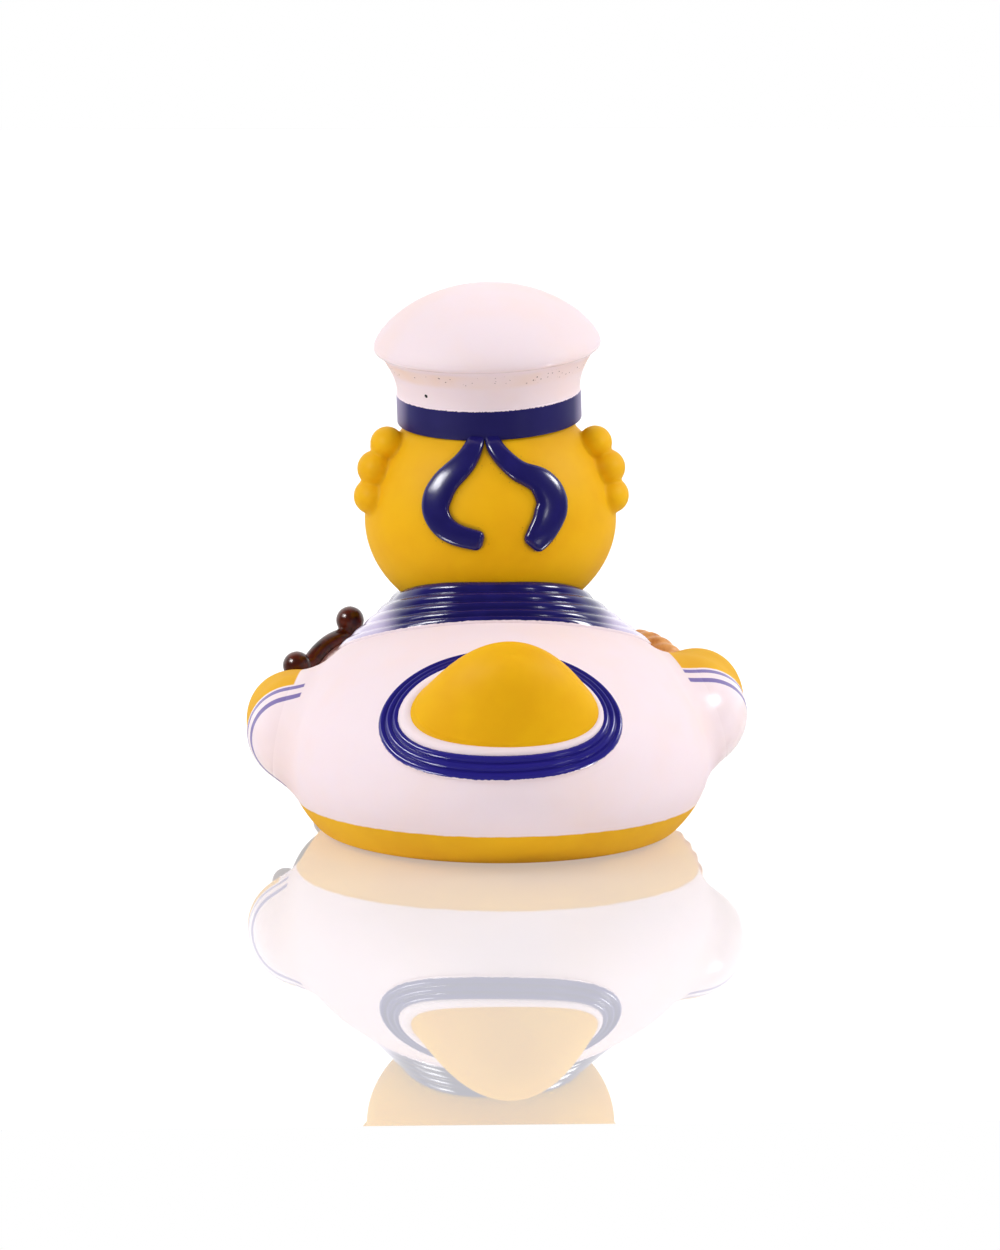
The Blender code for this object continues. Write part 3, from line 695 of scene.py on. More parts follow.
# %% The suit's material
STRIPE_HALF_WIDTH = 0.5 * MM
STRIPES_BEHIND_CUFF = (1.0 * MM, 3.4 * MM)
BASE_BAND_HEIGHT = 6.0 * MM

suit, tree, shader, tint = white_paint("suit paint", 0.3, 0.06)
place = tree.add("ShaderNodeTexCoord", output=3)
height = tree.add("ShaderNodeSeparateXYZ", {"Vector": place}, 2)
above_band = use(
    tree,
    paint_edge,
    {"Distance": tree.maths("SUBTRACT", height, BASE_BAND_HEIGHT), "Raggedness": 0.1 * MM, "Grain": 2.2 * MM, "Softness": 0.14 * MM},
)
vinyl = use(tree, thin_paint, {"Paint": YELLOW, "Ground": YELLOW_DEEP, "Patch size": 9 * MM, "Thinness": 0.3})
on_arm = tree.ramp(read(tree, "on_arm"), 0.1 * MM, 0.35 * MM)
past_cuff = read(tree, "past_cuff")
for behind in STRIPES_BEHIND_CUFF:
    off_line = tree.maths("ABSOLUTE", tree.maths("ADD", past_cuff, behind))
    inside = tree.maths("SUBTRACT", STRIPE_HALF_WIDTH, off_line)
    line = use(tree, paint_edge, {"Distance": inside, "Raggedness": 0.02 * MM, "Grain": 0.8 * MM, "Softness": 0.07 * MM})
    tint = tree.mix(tree.maths("MULTIPLY", line, on_arm), tint, STRIPE)
hand = use(tree, paint_edge, {"Distance": past_cuff, "Raggedness": 0.05 * MM, "Grain": 1 * MM, "Softness": 0.08 * MM})
hand = tree.maths("MULTIPLY", hand, tree.ramp(read(tree, "on_hand"), 0.1 * MM, 0.35 * MM))
white = tree.maths("MULTIPLY", above_band, tree.maths("SUBTRACT", 1.0, hand))
colour = tree.mix(white, vinyl, tint)
for name, stray, reach in (("wheel_gap", BROWN_THIN, 0.5 * MM), ("rope_gap", TAN, 0.6 * MM)):
    near = tree.maths("SUBTRACT", reach, read(tree, name))
    fringe = use(tree, paint_edge, {"Distance": near, "Raggedness": 0.3 * MM, "Grain": 0.8 * MM, "Softness": 0.35 * MM})
    colour = tree.mix(tree.maths("MULTIPLY", fringe, 0.8), colour, stray)
tree.feed(shader.inputs["Base Color"], colour)
polished = tree.ramp(read(tree, "on_arm"), 0.0, 3 * MM, WHITE_ROUGHNESS, 0.24)
tree.feed(shader.inputs["Roughness"], tree.blend(white, 0.75, polished))
print("suit paint has", len(suit.node_tree.nodes), "nodes")

# %% Make the body
body = moulding("body", body_seeds, body_field, 0.62 * MM, suit, rounds=5)
skin = places(body.data)
on_arm_values, past_cuff_values = arm_values(skin)
give(body, "on_arm", on_arm_values)
give(body, "past_cuff", past_cuff_values)
give(body, "on_hand", on_arm_values - np.where(skin[:, 0] > 0, HAND_PAINT_STOPS[1], HAND_PAINT_STOPS[-1]))
give(body, "wheel_gap", gap_to_ring(skin, wheel_place, WHEEL_RIM_RADIUS, WHEEL_RIM_THICKNESS / 2))
give(body, "rope_gap", gap_to_ring(skin, coil_place, COIL_RADIUS, ROPE_RADIUS))

# %% [markdown]
# ## The head and its curls
# The head is an egg with two short rows of soft lobes on each side, like a child's drawing of
# curly hair. They are blended a little into the head, so that a faint valley shows between them.

# %% Head and curls
CURL_RADII = (2.8 * MM, 3.0 * MM, 3.0 * MM)
CURL_RISES = (12.9 * MM, 8.8 * MM, 4.2 * MM)
CURL_OUT = (1.1 * MM, 0.6 * MM, -0.3 * MM)
CURL_COLUMNS = (
    {"azimuth": math.radians(11.0), "depth": 1.5, "drop": 0.0, "inset": 0.0},
    {"azimuth": math.radians(-13.0), "depth": 1.2, "drop": 1.35 * MM, "inset": 1.0 * MM},
)

curls = []
for sign in (1, -1):
    for column in CURL_COLUMNS:
        for rise, out, radius in zip(CURL_RISES, CURL_OUT, CURL_RADII):
            height = rise - column["drop"]
            level = math.sqrt(1 - (height / HEAD_UP) ** 2)
            proud = out - column["inset"]
            across = sign * (HEAD_HALF_WIDTH * level + proud) * math.cos(column["azimuth"])
            back = (HEAD_HALF_DEPTH * level + proud) * math.sin(column["azimuth"])
            middle = np.array(HEAD_CENTRE) + (across, back, height)
            curls.append(Egg(middle, radius, radius * column["depth"], radius, radius))


cap_place = Matrix.Translation(CAP_SEAT) @ Matrix.Rotation(CAP_ROLL, 4, "Y") @ Matrix.Rotation(-CAP_LEAN, 4, "X")
CROWN_RADIUS = CAP_BAND_RADIUS - 1.3 * MM
crown = Egg((0, 0, 0.5 * MM), CROWN_RADIUS, CROWN_RADIUS, 3 * MM, 7 * MM)


def head_field(points):
    """The head, the swell under its cap and the curls."""
    lobes = curls[0].distance(points)
    for curl in curls[1:]:
        lobes = smooth_min(lobes, curl.distance(points), 0.5 * MM)
    swell = crown.distance(moved(points, cap_place.inverted()))
    skull = smooth_min(head_egg.distance(points), swell, 1.5 * MM)
    return smooth_min(skull, lobes, 0.7 * MM)


# %% [markdown]
# ## Ribbon tails
# Two ribbons hang from the back of the cap. Each is a soft raised strip that lies on the head, so
# it is drawn as a path across the head's rear surface, and every cross-section sits square to that
# surface. The navy paint is sprayed after, and a little of it drifts onto the yellow beside it in
# dark specks. A thin dark brown painted shade also hugs each ribbon's edge, where it meets the head.

# %% Ribbon routes: how far across the head's back, and how far below its top
RIBBON_ROUTES_MM = {
    "ribbon_left": (
        (2.7, -0.6), (3.1, 1.7), (4.8, 4.5), (8.1, 7.9), (9.6, 11.4), (8.7, 14.2), (6.3, 15.9), (2.0, 17.0),
    ),
    "ribbon_right": (
        (0.5, -0.6), (-0.2, 2.4), (-3.4, 5.6), (-7.3, 7.6), (-9.1, 10.6), (-8.6, 13.5), (-7.0, 16.3), (-5.5, 17.9),
    ),
}
RIBBON_WIDTHS_MM = {"ribbon_left": (2.4, 2.8, 3.5, 4.3, 4.0, 3.6, 3.1), "ribbon_right": (2.3, 2.7, 3.2, 4.6, 5.2, 4.4, 3.3)}
RIBBON_RAISE = 1.25 * MM
RIBBON_SINK = 1.2 * MM
RIBBON_END_ROUND = 1.0 * MM
RIBBON_SWELLS_OVER = 2.5 * MM
RIBBON_TOP = 67.0 * MM


def smooth_path(route, stations):
    """Points along a Catmull-Rom curve through a route."""
    route = np.array(route, float)
    route = np.concatenate([[2 * route[0] - route[1]], route, [2 * route[-1] - route[-2]]])
    travel = np.linspace(0, len(route) - 3, stations)
    span = np.minimum(travel.astype(int), len(route) - 4)
    t = (travel - span)[:, None]
    p0, p1, p2, p3 = (route[span + step] for step in range(4))
    squares, cubes = 2 * p0 - 5 * p1 + 4 * p2 - p3, 3 * p1 - p0 - 3 * p2 + p3
    return (2 * p1 + (p2 - p0) * t + squares * t**2 + cubes * t**3) / 2


def ribbon(name, stations=110, section=28):
    """A rounded strip on the head's back. It also gives its middle line and half widths."""
    seat = RIBBON_TOP - HEAD_CENTRE[2]
    route = np.array(RIBBON_ROUTES_MM[name]) * MM
    path = smooth_path(np.stack([route[:, 0], seat - route[:, 1]], -1), stations)
    share = np.linspace(0, 1, stations)
    widths = np.array(RIBBON_WIDTHS_MM[name]) * MM
    half = np.interp(share, np.linspace(0, 1, len(widths)), widths) / 2
    lengths = np.concatenate([[0], np.cumsum(np.linalg.norm(np.diff(path, axis=0), axis=1))])
    to_end = np.clip((lengths[-1] - lengths) / RIBBON_END_ROUND, 0, 1)
    taper = np.sqrt(1 - (1 - to_end) ** 2)
    end_half = half * (0.45 + 0.55 * taper)
    onward = np.gradient(path, axis=0)
    side = np.stack([-onward[:, 1], onward[:, 0]], -1)
    side /= np.linalg.norm(side, axis=1, keepdims=True)
    turn = math.tau * np.arange(section) / section
    flat = np.sign(np.cos(turn)) * np.abs(np.cos(turn)) ** 0.7
    spot = path[:, None] + side[:, None] * flat[None, :, None] * end_half[:, None, None]
    on_head = head_egg.facing(spot[..., 0], spot[..., 1], 1)
    lift = np.where(np.sin(turn) > 0, RIBBON_RAISE * np.abs(np.sin(turn)) ** 0.5, RIBBON_SINK * np.sin(turn))
    swell = 0.3 + 0.7 * np.clip(lengths / RIBBON_SWELLS_OVER, 0, 1)
    lift = lift[None, :] * np.where(lift[None, :] > 0, swell[:, None] * (0.25 + 0.75 * taper[:, None]), 1)
    rings = on_head + head_egg.normal(on_head) * lift[..., None]
    caps = [rings[:1].mean(axis=1, keepdims=True), rings[-1:].mean(axis=1, keepdims=True)]
    rings = np.concatenate([np.broadcast_to(caps[0], rings[:1].shape), rings, np.broadcast_to(caps[1], rings[:1].shape)])
    piece = new_piece(name, rings.reshape(-1, 3), grid_faces(stations + 2, section), ribbon_navy)
    return piece, head_egg.facing(path[:, 0], path[:, 1], 1), np.minimum(half, lengths[-1] - lengths)


ribbons = {name: ribbon(name) for name in RIBBON_ROUTES_MM}
print("ribbon faces:", [len(made[0].data.polygons) for made in ribbons.values()])

# %% The head's material, with overspray specks and a painted shade beside the ribbons
head_vinyl, tree, shader, tint = painted(
    "head vinyl", YELLOW, YELLOW_DEEP, 9 * MM, 0.3, 0.55, 1.2 * MM, 0.006 * MM, 0.1, 0.15
)
gap = read(tree, "ribbon_gap")
drift = tree.ramp(gap, 0.0, 1.6 * MM, 0.8, 0.0)
# Painted shade: dark brown right along each ribbon's edge, fading out within 0.8 mm.
ribbon_edge_shade = tree.ramp(gap, 0.0, 0.8 * MM, 0.45, 0.0)
dust = use(tree, specks, {"Spacing": 0.5 * MM, "Size": 0.13 * MM, "Share": 0.5})
shade_and_overspray = tree.maths("MAXIMUM", ribbon_edge_shade, tree.maths("MULTIPLY", dust, drift))
# One dark brown serves both the painted edge shade and the overspray specks.
tint = tree.mix(shade_and_overspray, tint, light(70, 45, 30))
tree.feed(shader.inputs["Base Color"], tint)

# %% Make the head
head_seeds = [egg_seed(head_egg, 72, 36)] + [egg_seed(curl, 24, 12) for curl in curls]
crown_points, crown_faces = egg_seed(crown)
head_seeds.append((moved(crown_points, cap_place), crown_faces))
head = moulding("head", head_seeds, head_field, 0.45 * MM, head_vinyl, rounds=4)
skin = places(head.data)
gap = np.full(len(skin), 5 * MM)
for _, middles, half in ribbons.values():
    for middle, reach in zip(middles, half):
        gap = np.minimum(gap, np.linalg.norm(skin - middle, axis=1) - reach)
give(head, "ribbon_gap", gap)

# %% [markdown]
# ## The cap
# A cap is a turned form: one outline, spun about its own axis, and leaned back a little. The spin
# also stores each point's height above the band's lower edge, because the white and navy masks
# follow that height and not the world's.

# %% A turned form
def turned(name, profile, place, material, around=192):
    """Spins a profile of (radius, height) about Z. It stores each point's height as rise."""
    profile = np.array(profile, float)
    turn = math.tau * np.arange(around) / around
    rings = profile[:, 0, None, None] * np.stack([np.cos(turn), np.sin(turn), 0 * turn], -1)
    rings[..., 2] = profile[:, 1, None]
    piece = new_piece(name, rings.reshape(-1, 3), grid_faces(len(profile), around), material)
    give(piece, "rise", places(piece.data)[:, 2])
    piece.data.transform(place)
    return piece


def arc(centre, radius, start, end, steps):
    """Points of an arc, with angles in degrees from +radius towards +height."""
    angles = np.radians(np.linspace(start, end, steps))
    return [(centre[0] + radius * math.cos(a), centre[1] + radius * math.sin(a)) for a in angles]


# %% The cap's outline
CAP_FLARE_POWER = 1.8
CAP_DOME_POWER = 0.69


def cap_side(share):
    """Radius and height of the flaring side, this share of the way from the band to the rim."""
    flare = CAP_RIM_RADIUS - CAP_RIM_ROUND * 0.85 - CAP_BAND_RADIUS
    height = CAP_BAND_HEIGHT + (CAP_SIDE_TOP - CAP_BAND_HEIGHT) * share
    return CAP_BAND_RADIUS - 0.15 * MM + flare * share**CAP_FLARE_POWER, height


def cap_outline():
    """From inside the band, up the flaring side, round the rim and over the dome."""
    outline = [(0, 1 * MM), (CAP_BAND_RADIUS - 1 * MM, 1 * MM), (CAP_BAND_RADIUS - 0.35 * MM, CAP_BAND_HEIGHT - 1 * MM)]
    outline += [cap_side(share) for share in np.linspace(0, 0.995, 30)]
    centre = (CAP_RIM_RADIUS - CAP_RIM_ROUND, CAP_SIDE_TOP + CAP_RIM_ROUND)
    outline += arc(centre, CAP_RIM_ROUND, -80, 15, 14)
    start_radius, start_height = outline[-1]
    for angle in np.linspace(0.06, math.pi / 2, 60):
        share = math.cos(angle)
        lift = (1 - share**2) ** CAP_DOME_POWER
        outline.append((start_radius * share, start_height + (CAP_TOP - start_height) * lift))
    return outline


# %% The cap's white, with its peach stretch, its line of specks and one dark fleck
cap_white, tree, shader, tint = white_paint("cap white", 0.35, 0.05)
rise = read(tree, "rise")
place = tree.add("ShaderNodeTexCoord", output=3)
under_rim = tree.maths("MULTIPLY", tree.ramp(rise, 8.2 * MM, 9.2 * MM), tree.ramp(rise, 11.4 * MM, 10.6 * MM))
noise = tree.add("ShaderNodeTexNoise", {"Vector": place, "Scale": 1 / (9 * MM), "Detail": 2.0})
thin = tree.maths("MULTIPLY", under_rim, tree.ramp(noise, 0.3, 0.75, 0.1, 0.7))
tint = tree.mix(thin, tint, light(240, 208, 184))
line = tree.maths("MULTIPLY", tree.ramp(rise, 8.9 * MM, 9.5 * MM), tree.ramp(rise, 11.2 * MM, 10.2 * MM))
grit = use(tree, specks, {"Spacing": 0.62 * MM, "Size": 0.15 * MM, "Share": 0.8})
tint = tree.mix(tree.maths("MULTIPLY", grit, line), tint, light(122, 88, 92))
RIM_ROUGHNESS = 0.22
FLECK_TURN = math.radians(46.0)
FLECK_SHARE = 0.27
fleck_radius, fleck_height = cap_side(FLECK_SHARE)
fleck = cap_place @ Vector((fleck_radius * math.cos(FLECK_TURN), fleck_radius * math.sin(FLECK_TURN), fleck_height))
reach = tree.vectors("DISTANCE", place, tuple(fleck), output=1)
tint = tree.mix(tree.maths("LESS_THAN", reach, 0.32 * MM), tint, BLACK)
tree.feed(shader.inputs["Base Color"], tint)
on_rim = tree.maths("MULTIPLY", tree.ramp(rise, 11.2 * MM, 11.7 * MM), tree.ramp(rise, 12.9 * MM, 12.3 * MM))
tree.feed(shader.inputs["Roughness"], tree.blend(on_rim, WHITE_ROUGHNESS, RIM_ROUGHNESS))
cap = turned("cap", cap_outline(), cap_place, cap_white)
print("cap has", len(cap.data.polygons), "faces")

# %% The band
BAND_EDGE_ROUND = 0.25 * MM
band_material, tree, shader, tint = painted(
    "band navy", NAVY, NAVY_THIN, 7 * MM, 0.2, 0.4, 3 * MM, 0.012 * MM, 0.2
)
# The band pales at its sides: thin spray and a painted reflection of the backdrop.
tint = thin_spray_and_sheen(tree, tint, 13.4 * MM, 15.6 * MM, 0.45)
rise = read(tree, "rise")
below_top = tree.maths("SUBTRACT", CAP_BAND_HEIGHT - 0.25 * MM, rise)
navy = use(tree, paint_edge, {"Distance": below_top, "Raggedness": 0.12 * MM, "Grain": 0.35 * MM, "Softness": 0.04 * MM})
tree.feed(shader.inputs["Base Color"], tree.mix(navy, WHITE, tint))

band_outline = [(CAP_BAND_RADIUS - 2 * MM, -0.2 * MM)]
band_outline += arc((CAP_BAND_RADIUS - BAND_EDGE_ROUND, BAND_EDGE_ROUND - 0.2 * MM), BAND_EDGE_ROUND, -90, 0, 6)
band_outline += [(CAP_BAND_RADIUS, height * MM) for height in (1, 2, 3, 4)]
band_outline += arc((CAP_BAND_RADIUS - BAND_EDGE_ROUND, CAP_BAND_HEIGHT - BAND_EDGE_ROUND), BAND_EDGE_ROUND, 0, 90, 6)
band_outline += [(CAP_BAND_RADIUS - 2 * MM, CAP_BAND_HEIGHT), (CAP_BAND_RADIUS - 2 * MM, -0.2 * MM)]
band = turned("cap_band", band_outline, cap_place, band_material)
give(band, "aside", np.abs(places(band.data)[:, 0] - CAP_SEAT[0]))
print("band has", len(band.data.polygons), "faces")

# %% [markdown]
# ## Ridged trim
# The collar and the oval round the tail carry the same moulded ridges, like rows of piping. The
# bare band is a grid of points in two directions, and one Geometry Nodes tree raises the ridges on
# it: it reads how far across the band each point is, and lifts it along the surface's own normal.
# The collar runs it with five ridges and the oval with three.

# %% The ridge tree
ridges, tree, given, close = new_group(
    "ridges",
    "GeometryNodeTree",
    [("Band", GEOMETRY, None), ("Count", FLOAT, 3.0), ("Raise", FLOAT, 0.5 * MM), ("Roundness", FLOAT, 0.6), ("Paint", MATERIAL, None)],
    [("Band", GEOMETRY)],
)
across = tree.add("GeometryNodeInputNamedAttribute", {"Name": "across"}, data_type="FLOAT")
wave = tree.maths("MULTIPLY", tree.maths("MULTIPLY", across, given["Count"]), math.pi)
wave = tree.maths("POWER", tree.maths("ABSOLUTE", tree.maths("SINE", wave)), given["Roundness"])
evenly = tree.add("GeometryNodeInputNamedAttribute", {"Name": "ridge_share"}, data_type="FLOAT")
lift = tree.maths("MULTIPLY", tree.maths("MULTIPLY", wave, evenly), given["Raise"])
normal = tree.add("GeometryNodeInputNormal")
offset = tree.add("ShaderNodeVectorMath", {0: normal, 3: lift}, operation="SCALE")
raised = tree.add("GeometryNodeSetPosition", {"Geometry": given["Band"], "Offset": offset})
raised = tree.add("GeometryNodeRealizeInstances", {"Geometry": raised})
tree.feed(close.inputs["Band"], tree.add("GeometryNodeSetMaterial", {"Geometry": raised, "Material": given["Paint"]}))
print("ridge tree inputs:", [item.name for item in ridges.interface.items_tree if item.in_out == "INPUT"])


# %% A bare band between two closed edges
def bare_band(name, rows, inner_sunk, outer_sunk):
    """A closed band. The sunk edges lie in the moulding, and the visible rows run from inside to outside."""
    grid = [inner_sunk, *rows, outer_sunk]
    across = np.concatenate([[0], np.linspace(0, 1, len(rows)), [1]])
    columns = len(inner_sunk)
    points = np.stack(grid)
    piece = new_piece(name, points.reshape(-1, 3), grid_faces(len(grid), columns, loop_rows=True))
    give(piece, "across", np.repeat(across, columns))
    give(piece, "ridge_share", np.ones(len(piece.data.vertices)))
    return piece


def sunk(edge, depth):
    """An edge, moved into the body."""
    return edge - body_egg.normal(edge) * depth


def raise_ridges(piece, count, height, roundness, paint):
    return run_tree(piece, ridges, {"Count": float(count), "Raise": height, "Roundness": roundness, "Paint": paint})


# %% The collar
COLLAR_FALL_POWER = 1.5
turn = math.tau * np.arange(360) / 360
def neck_line():
    """A closed curve on the head, level behind the neck and lower at its sides."""
    away = 1 - np.abs(np.cos(turn)) ** 3
    height = COLLAR_NECK_HEIGHT + np.where(np.sin(turn) > 0, COLLAR_RISE_BEHIND, -COLLAR_DROP_IN_FRONT) * away
    level = np.sqrt(1 - ((height - HEAD_CENTRE[2]) / HEAD_DOWN) ** 2)
    across = HEAD_CENTRE[0] + HEAD_HALF_WIDTH * level * np.cos(turn)
    return np.stack([across, HEAD_CENTRE[1] + HEAD_HALF_DEPTH * level * np.sin(turn), height], -1)


def collar_rows(rows=101):
    """Rows of points from the neck to the shoulders, which fall steeply at first and then hug the body."""
    neck_x, neck_y, neck_height = neck_line().T
    depth = np.where(np.sin(turn) > 0, COLLAR_DEPTH_BACK, COLLAR_DEPTH_FRONT)
    edge_x, edge_y = COLLAR_X + COLLAR_HALF_WIDTH * np.cos(turn), HEAD_CENTRE[1] + depth * np.sin(turn)
    lift = neck_height - body_egg.over(neck_x, neck_y)[:, 2]
    made = []
    for share in np.linspace(0, 1, rows):
        row = body_egg.over(neck_x + (edge_x - neck_x) * share, neck_y + (edge_y - neck_y) * share)
        row += body_egg.normal(row) * COLLAR_PROUD
        row[:, 2] += lift * (1 - share) ** COLLAR_FALL_POWER
        made.append(row)
    return made


collar_grid = collar_rows()
core = np.array([COLLAR_X, HEAD_CENTRE[1], 32 * MM])
collar_hidden = collar_grid[0] * 0.6 + core * 0.4
# The collar pales at its sides: thin spray and a painted reflection of the backdrop.
collar_navy = trim_navy("collar navy", NAVY, -0.5, 0.985, 11 * MM, (15.5 * MM, 20.5 * MM, 0.8))
collar = bare_band("collar", collar_grid, collar_hidden, sunk(collar_grid[-1], 1.8 * MM))
aside = np.abs(places(collar.data)[:, 0] - COLLAR_X)
give(collar, "aside", aside)
flatter = np.interp(aside, (12 * MM, 19 * MM), (1.0, 0.4)).astype(np.float32)
collar.data.attributes["ridge_share"].data.foreach_set("value", flatter)
raise_ridges(collar, 5, 0.5 * MM, 1.0, collar_navy)
print("collar has", len(collar.data.polygons), "faces")


# %% The oval round the tail, and the white lip inside it
OVAL_PROUD = 0.3 * MM


def oval(sizes, sideways=0.0):
    """A closed curve on the body's rear slope, from its half width and its reach up and down the slope."""
    half_width, up, down = sizes
    outward = np.array((0, math.sin(OVAL_SLOPE), math.cos(OVAL_SLOPE)))
    down_slope = np.array((0, math.cos(OVAL_SLOPE), -math.sin(OVAL_SLOPE)))
    left = np.array((1.0, 0, 0)) * math.cos(OVAL_TURN) - down_slope * math.sin(OVAL_TURN)
    lower = down_slope * math.cos(OVAL_TURN) + np.array((1.0, 0, 0)) * math.sin(OVAL_TURN)
    reach = np.where(np.sin(turn) > 0, down, up) * np.sin(turn)
    starts = np.array(OVAL_CENTRE) + (sideways, 0, 0) + np.outer(half_width * np.cos(turn), left) + np.outer(reach, lower)
    surface = body_egg.along(starts, outward)
    return surface + body_egg.normal(surface) * OVAL_PROUD


def between(inner, outer, rows):
    return [inner + (outer - inner) * share for share in np.linspace(0, 1, rows)]


oval_outer = oval(OVAL_OUTSIDE)
oval_inner = oval(OVAL_INSIDE)
oval_navy = trim_navy("oval navy", light(36, 30, 126), 0.02, 0.965, 4 * MM)
oval_grid = between(oval_inner, oval_outer, 73)
tail_ring = bare_band("tail_ring", oval_grid, sunk(oval_inner, 1.5 * MM), sunk(oval_outer, 1.5 * MM))
raise_ridges(tail_ring, 3, 0.45 * MM, 0.9, oval_navy)
lip_inner = oval(LIP_INSIDE, TAIL_SIDEWAYS / 2)
lip_outer = oval([size + 0.15 * MM for size in OVAL_INSIDE])
tail_lip = bare_band("tail_lip", between(lip_inner, lip_outer, 41), sunk(lip_inner, 1.5 * MM), sunk(lip_outer, 1.5 * MM))
raise_ridges(tail_lip, 1, 0.55 * MM, 0.6, lip_white)
print("oval and lip faces:", len(tail_ring.data.polygons), len(tail_lip.data.polygons))

# %% [markdown]
# ## The tail
# The tail is a soft scoop of bare vinyl that stands in the oval. Its foot is an oval on the body's
# slope too, and its rings shrink from there to a leaning tip, slowly at first and then fast, which
# gives the rounded top. They tuck in a little at the foot, where the mould parted.

# %% The tail
TAIL_SHRINK = 0.84
TAIL_ROUND = 0.4
TAIL_CREASE = 0.012
TAIL_CREASE_SHARE = 0.085
TAIL_CREASE_WIDTH = 0.025


def tail_piece(levels=130):
    foot = oval(TAIL_FOOT, TAIL_SIDEWAYS)
    middle = foot.mean(axis=0)
    rise = np.array(TAIL_TIP) - middle
    rows = [np.broadcast_to(middle - rise * 0.3, foot.shape), sunk(foot, 2.5 * MM)]
    for level in range(levels + 1):
        share = math.sin(math.pi / 2 * level / levels)
        crease = TAIL_CREASE * math.exp(-(((share - TAIL_CREASE_SHARE) / TAIL_CREASE_WIDTH) ** 2))
        spread = (1 - share**TAIL_SHRINK) ** TAIL_ROUND - crease
        rows.append(middle + rise * share + (foot - middle) * spread)
    return new_piece("tail", np.concatenate(rows), grid_faces(len(rows), len(foot)), yellow_vinyl)


tail = tail_piece()
print("tail has", len(tail.data.polygons), "faces")

# %% [markdown]
# ## The ship's wheel
# A wheel repeats one spoke and handle round a rim, so a Geometry Nodes tree makes one and places
# the copies. In the real toy the wheel is part of the moulding, so its corners are soft: the
# finished wheel is given one voxel skin and evened, which rounds every corner by a little.

# %% The wheel tree
ship_wheel, tree, given, close = new_group(
    "ship_wheel",
    "GeometryNodeTree",
    [
        ("Host", GEOMETRY, None), ("Handles", WHOLE, 6), ("Turn", FLOAT, 0.0), ("Handle radius", FLOAT, 0.015),
        ("Rim radius", FLOAT, 0.012), ("Rim thickness", FLOAT, 0.003), ("Knob radius", FLOAT, 0.002),
        ("Hub radius", FLOAT, 0.0036), ("Spoke width", FLOAT, 0.0022), ("Paint", MATERIAL, None),
    ],
    [("Wheel", GEOMETRY)],
)


def swept(curve, radius, sides):
    """A round bar along a curve."""
    section = tree.add("GeometryNodeCurvePrimitiveCircle", {"Resolution": sides, "Radius": radius})
    return tree.add("GeometryNodeCurveToMesh", {"Curve": curve, "Profile Curve": section, "Fill Caps": True})


def bar(start, end, radius, sides=20):
    ends = {"Start": tree.add("ShaderNodeCombineXYZ", {"X": start}), "End": tree.add("ShaderNodeCombineXYZ", {"X": end})}
    return swept(tree.add("GeometryNodeCurvePrimitiveLine", ends), radius, sides)


def ball(radius, away, flatten=1.0):
    sphere = tree.add("GeometryNodeMeshUVSphere", {"Segments": 32, "Rings": 20, "Radius": radius})
    shift = tree.add("ShaderNodeCombineXYZ", {"X": away})
    return tree.add("GeometryNodeTransform", {"Geometry": sphere, "Translation": shift, "Scale": (1, 1, flatten)})


def join(*parts):
    node = tree.tree.nodes.new("GeometryNodeJoinGeometry")
    for part in parts:
        tree.tree.links.new(part, node.inputs[0])
    return node.outputs[0]


half_thickness = tree.maths("DIVIDE", given["Rim thickness"], 2.0)
circle = tree.add("GeometryNodeCurvePrimitiveCircle", {"Resolution": 128, "Radius": given["Rim radius"]})
rim = swept(circle, half_thickness, 24)
spoke = bar(0.0, given["Handle radius"], tree.maths("DIVIDE", given["Spoke width"], 2.0))
collar_ring = ball(tree.maths("MULTIPLY", given["Spoke width"], 0.78), tree.maths("MULTIPLY", given["Rim radius"], 0.62))
handle = join(spoke, ball(given["Knob radius"], given["Handle radius"]), collar_ring)
points = tree.add("GeometryNodePoints", {"Count": given["Handles"]})
step = tree.maths("DIVIDE", math.tau, given["Handles"])
angle = tree.maths("ADD", given["Turn"], tree.maths("MULTIPLY", tree.add("GeometryNodeInputIndex"), step))
aim = tree.add("ShaderNodeCombineXYZ", {"Z": angle})
handles = tree.add("GeometryNodeInstanceOnPoints", {"Points": points, "Instance": handle, "Rotation": aim})
hub = join(ball(given["Hub radius"], 0.0, 0.62), ball(tree.maths("MULTIPLY", given["Hub radius"], 0.45), 0.0, 1.9))
wheel_shape = tree.add("GeometryNodeRealizeInstances", {"Geometry": join(rim, handles, hub)})
painted_wheel = tree.add("GeometryNodeSetMaterial", {"Geometry": wheel_shape, "Material": given["Paint"]})
tree.feed(close.inputs["Wheel"], painted_wheel)
print("wheel tree has", len(ship_wheel.nodes), "nodes")


# %% From a tree to a cast piece
def grown(name, group, values, place):
    """Runs a shape tree on an empty mesh and gives its points and faces, put in place."""
    host = new_piece(name + "_host", np.zeros((0, 3)), np.zeros((0, 4), int))
    run_tree(host, group, values)
    points = moved(places(host.data), place)
    faces = [tuple(polygon.vertices) for polygon in host.data.polygons]
    bpy.data.objects.remove(host)
    return points, faces


def cast(name, points, faces, voxel, rounds, material):
    """One soft-cornered skin over a shape of many parts."""
    mesh = bpy.data.meshes.new(name)
    mesh.from_pydata(points.tolist(), [], faces)
    mesh.materials.append(material)
    piece = bpy.data.objects.new(name, mesh)
    bpy.context.scene.collection.objects.link(piece)
    remesh = piece.modifiers.new("one_skin", "REMESH")
    remesh.mode = "VOXEL"
    remesh.voxel_size = voxel
    plain_mesh(piece)
    edges = np.empty(len(piece.data.edges) * 2, np.int32)
    piece.data.edges.foreach_get("vertices", edges)
    skin = places(piece.data)
    for _ in range(rounds):
        skin = evened(skin, edges.reshape(-1, 2))
    piece.data.vertices.foreach_set("co", skin.ravel())
    piece.data.update()
    print(name, "has", len(piece.data.polygons), "faces")
    return piece


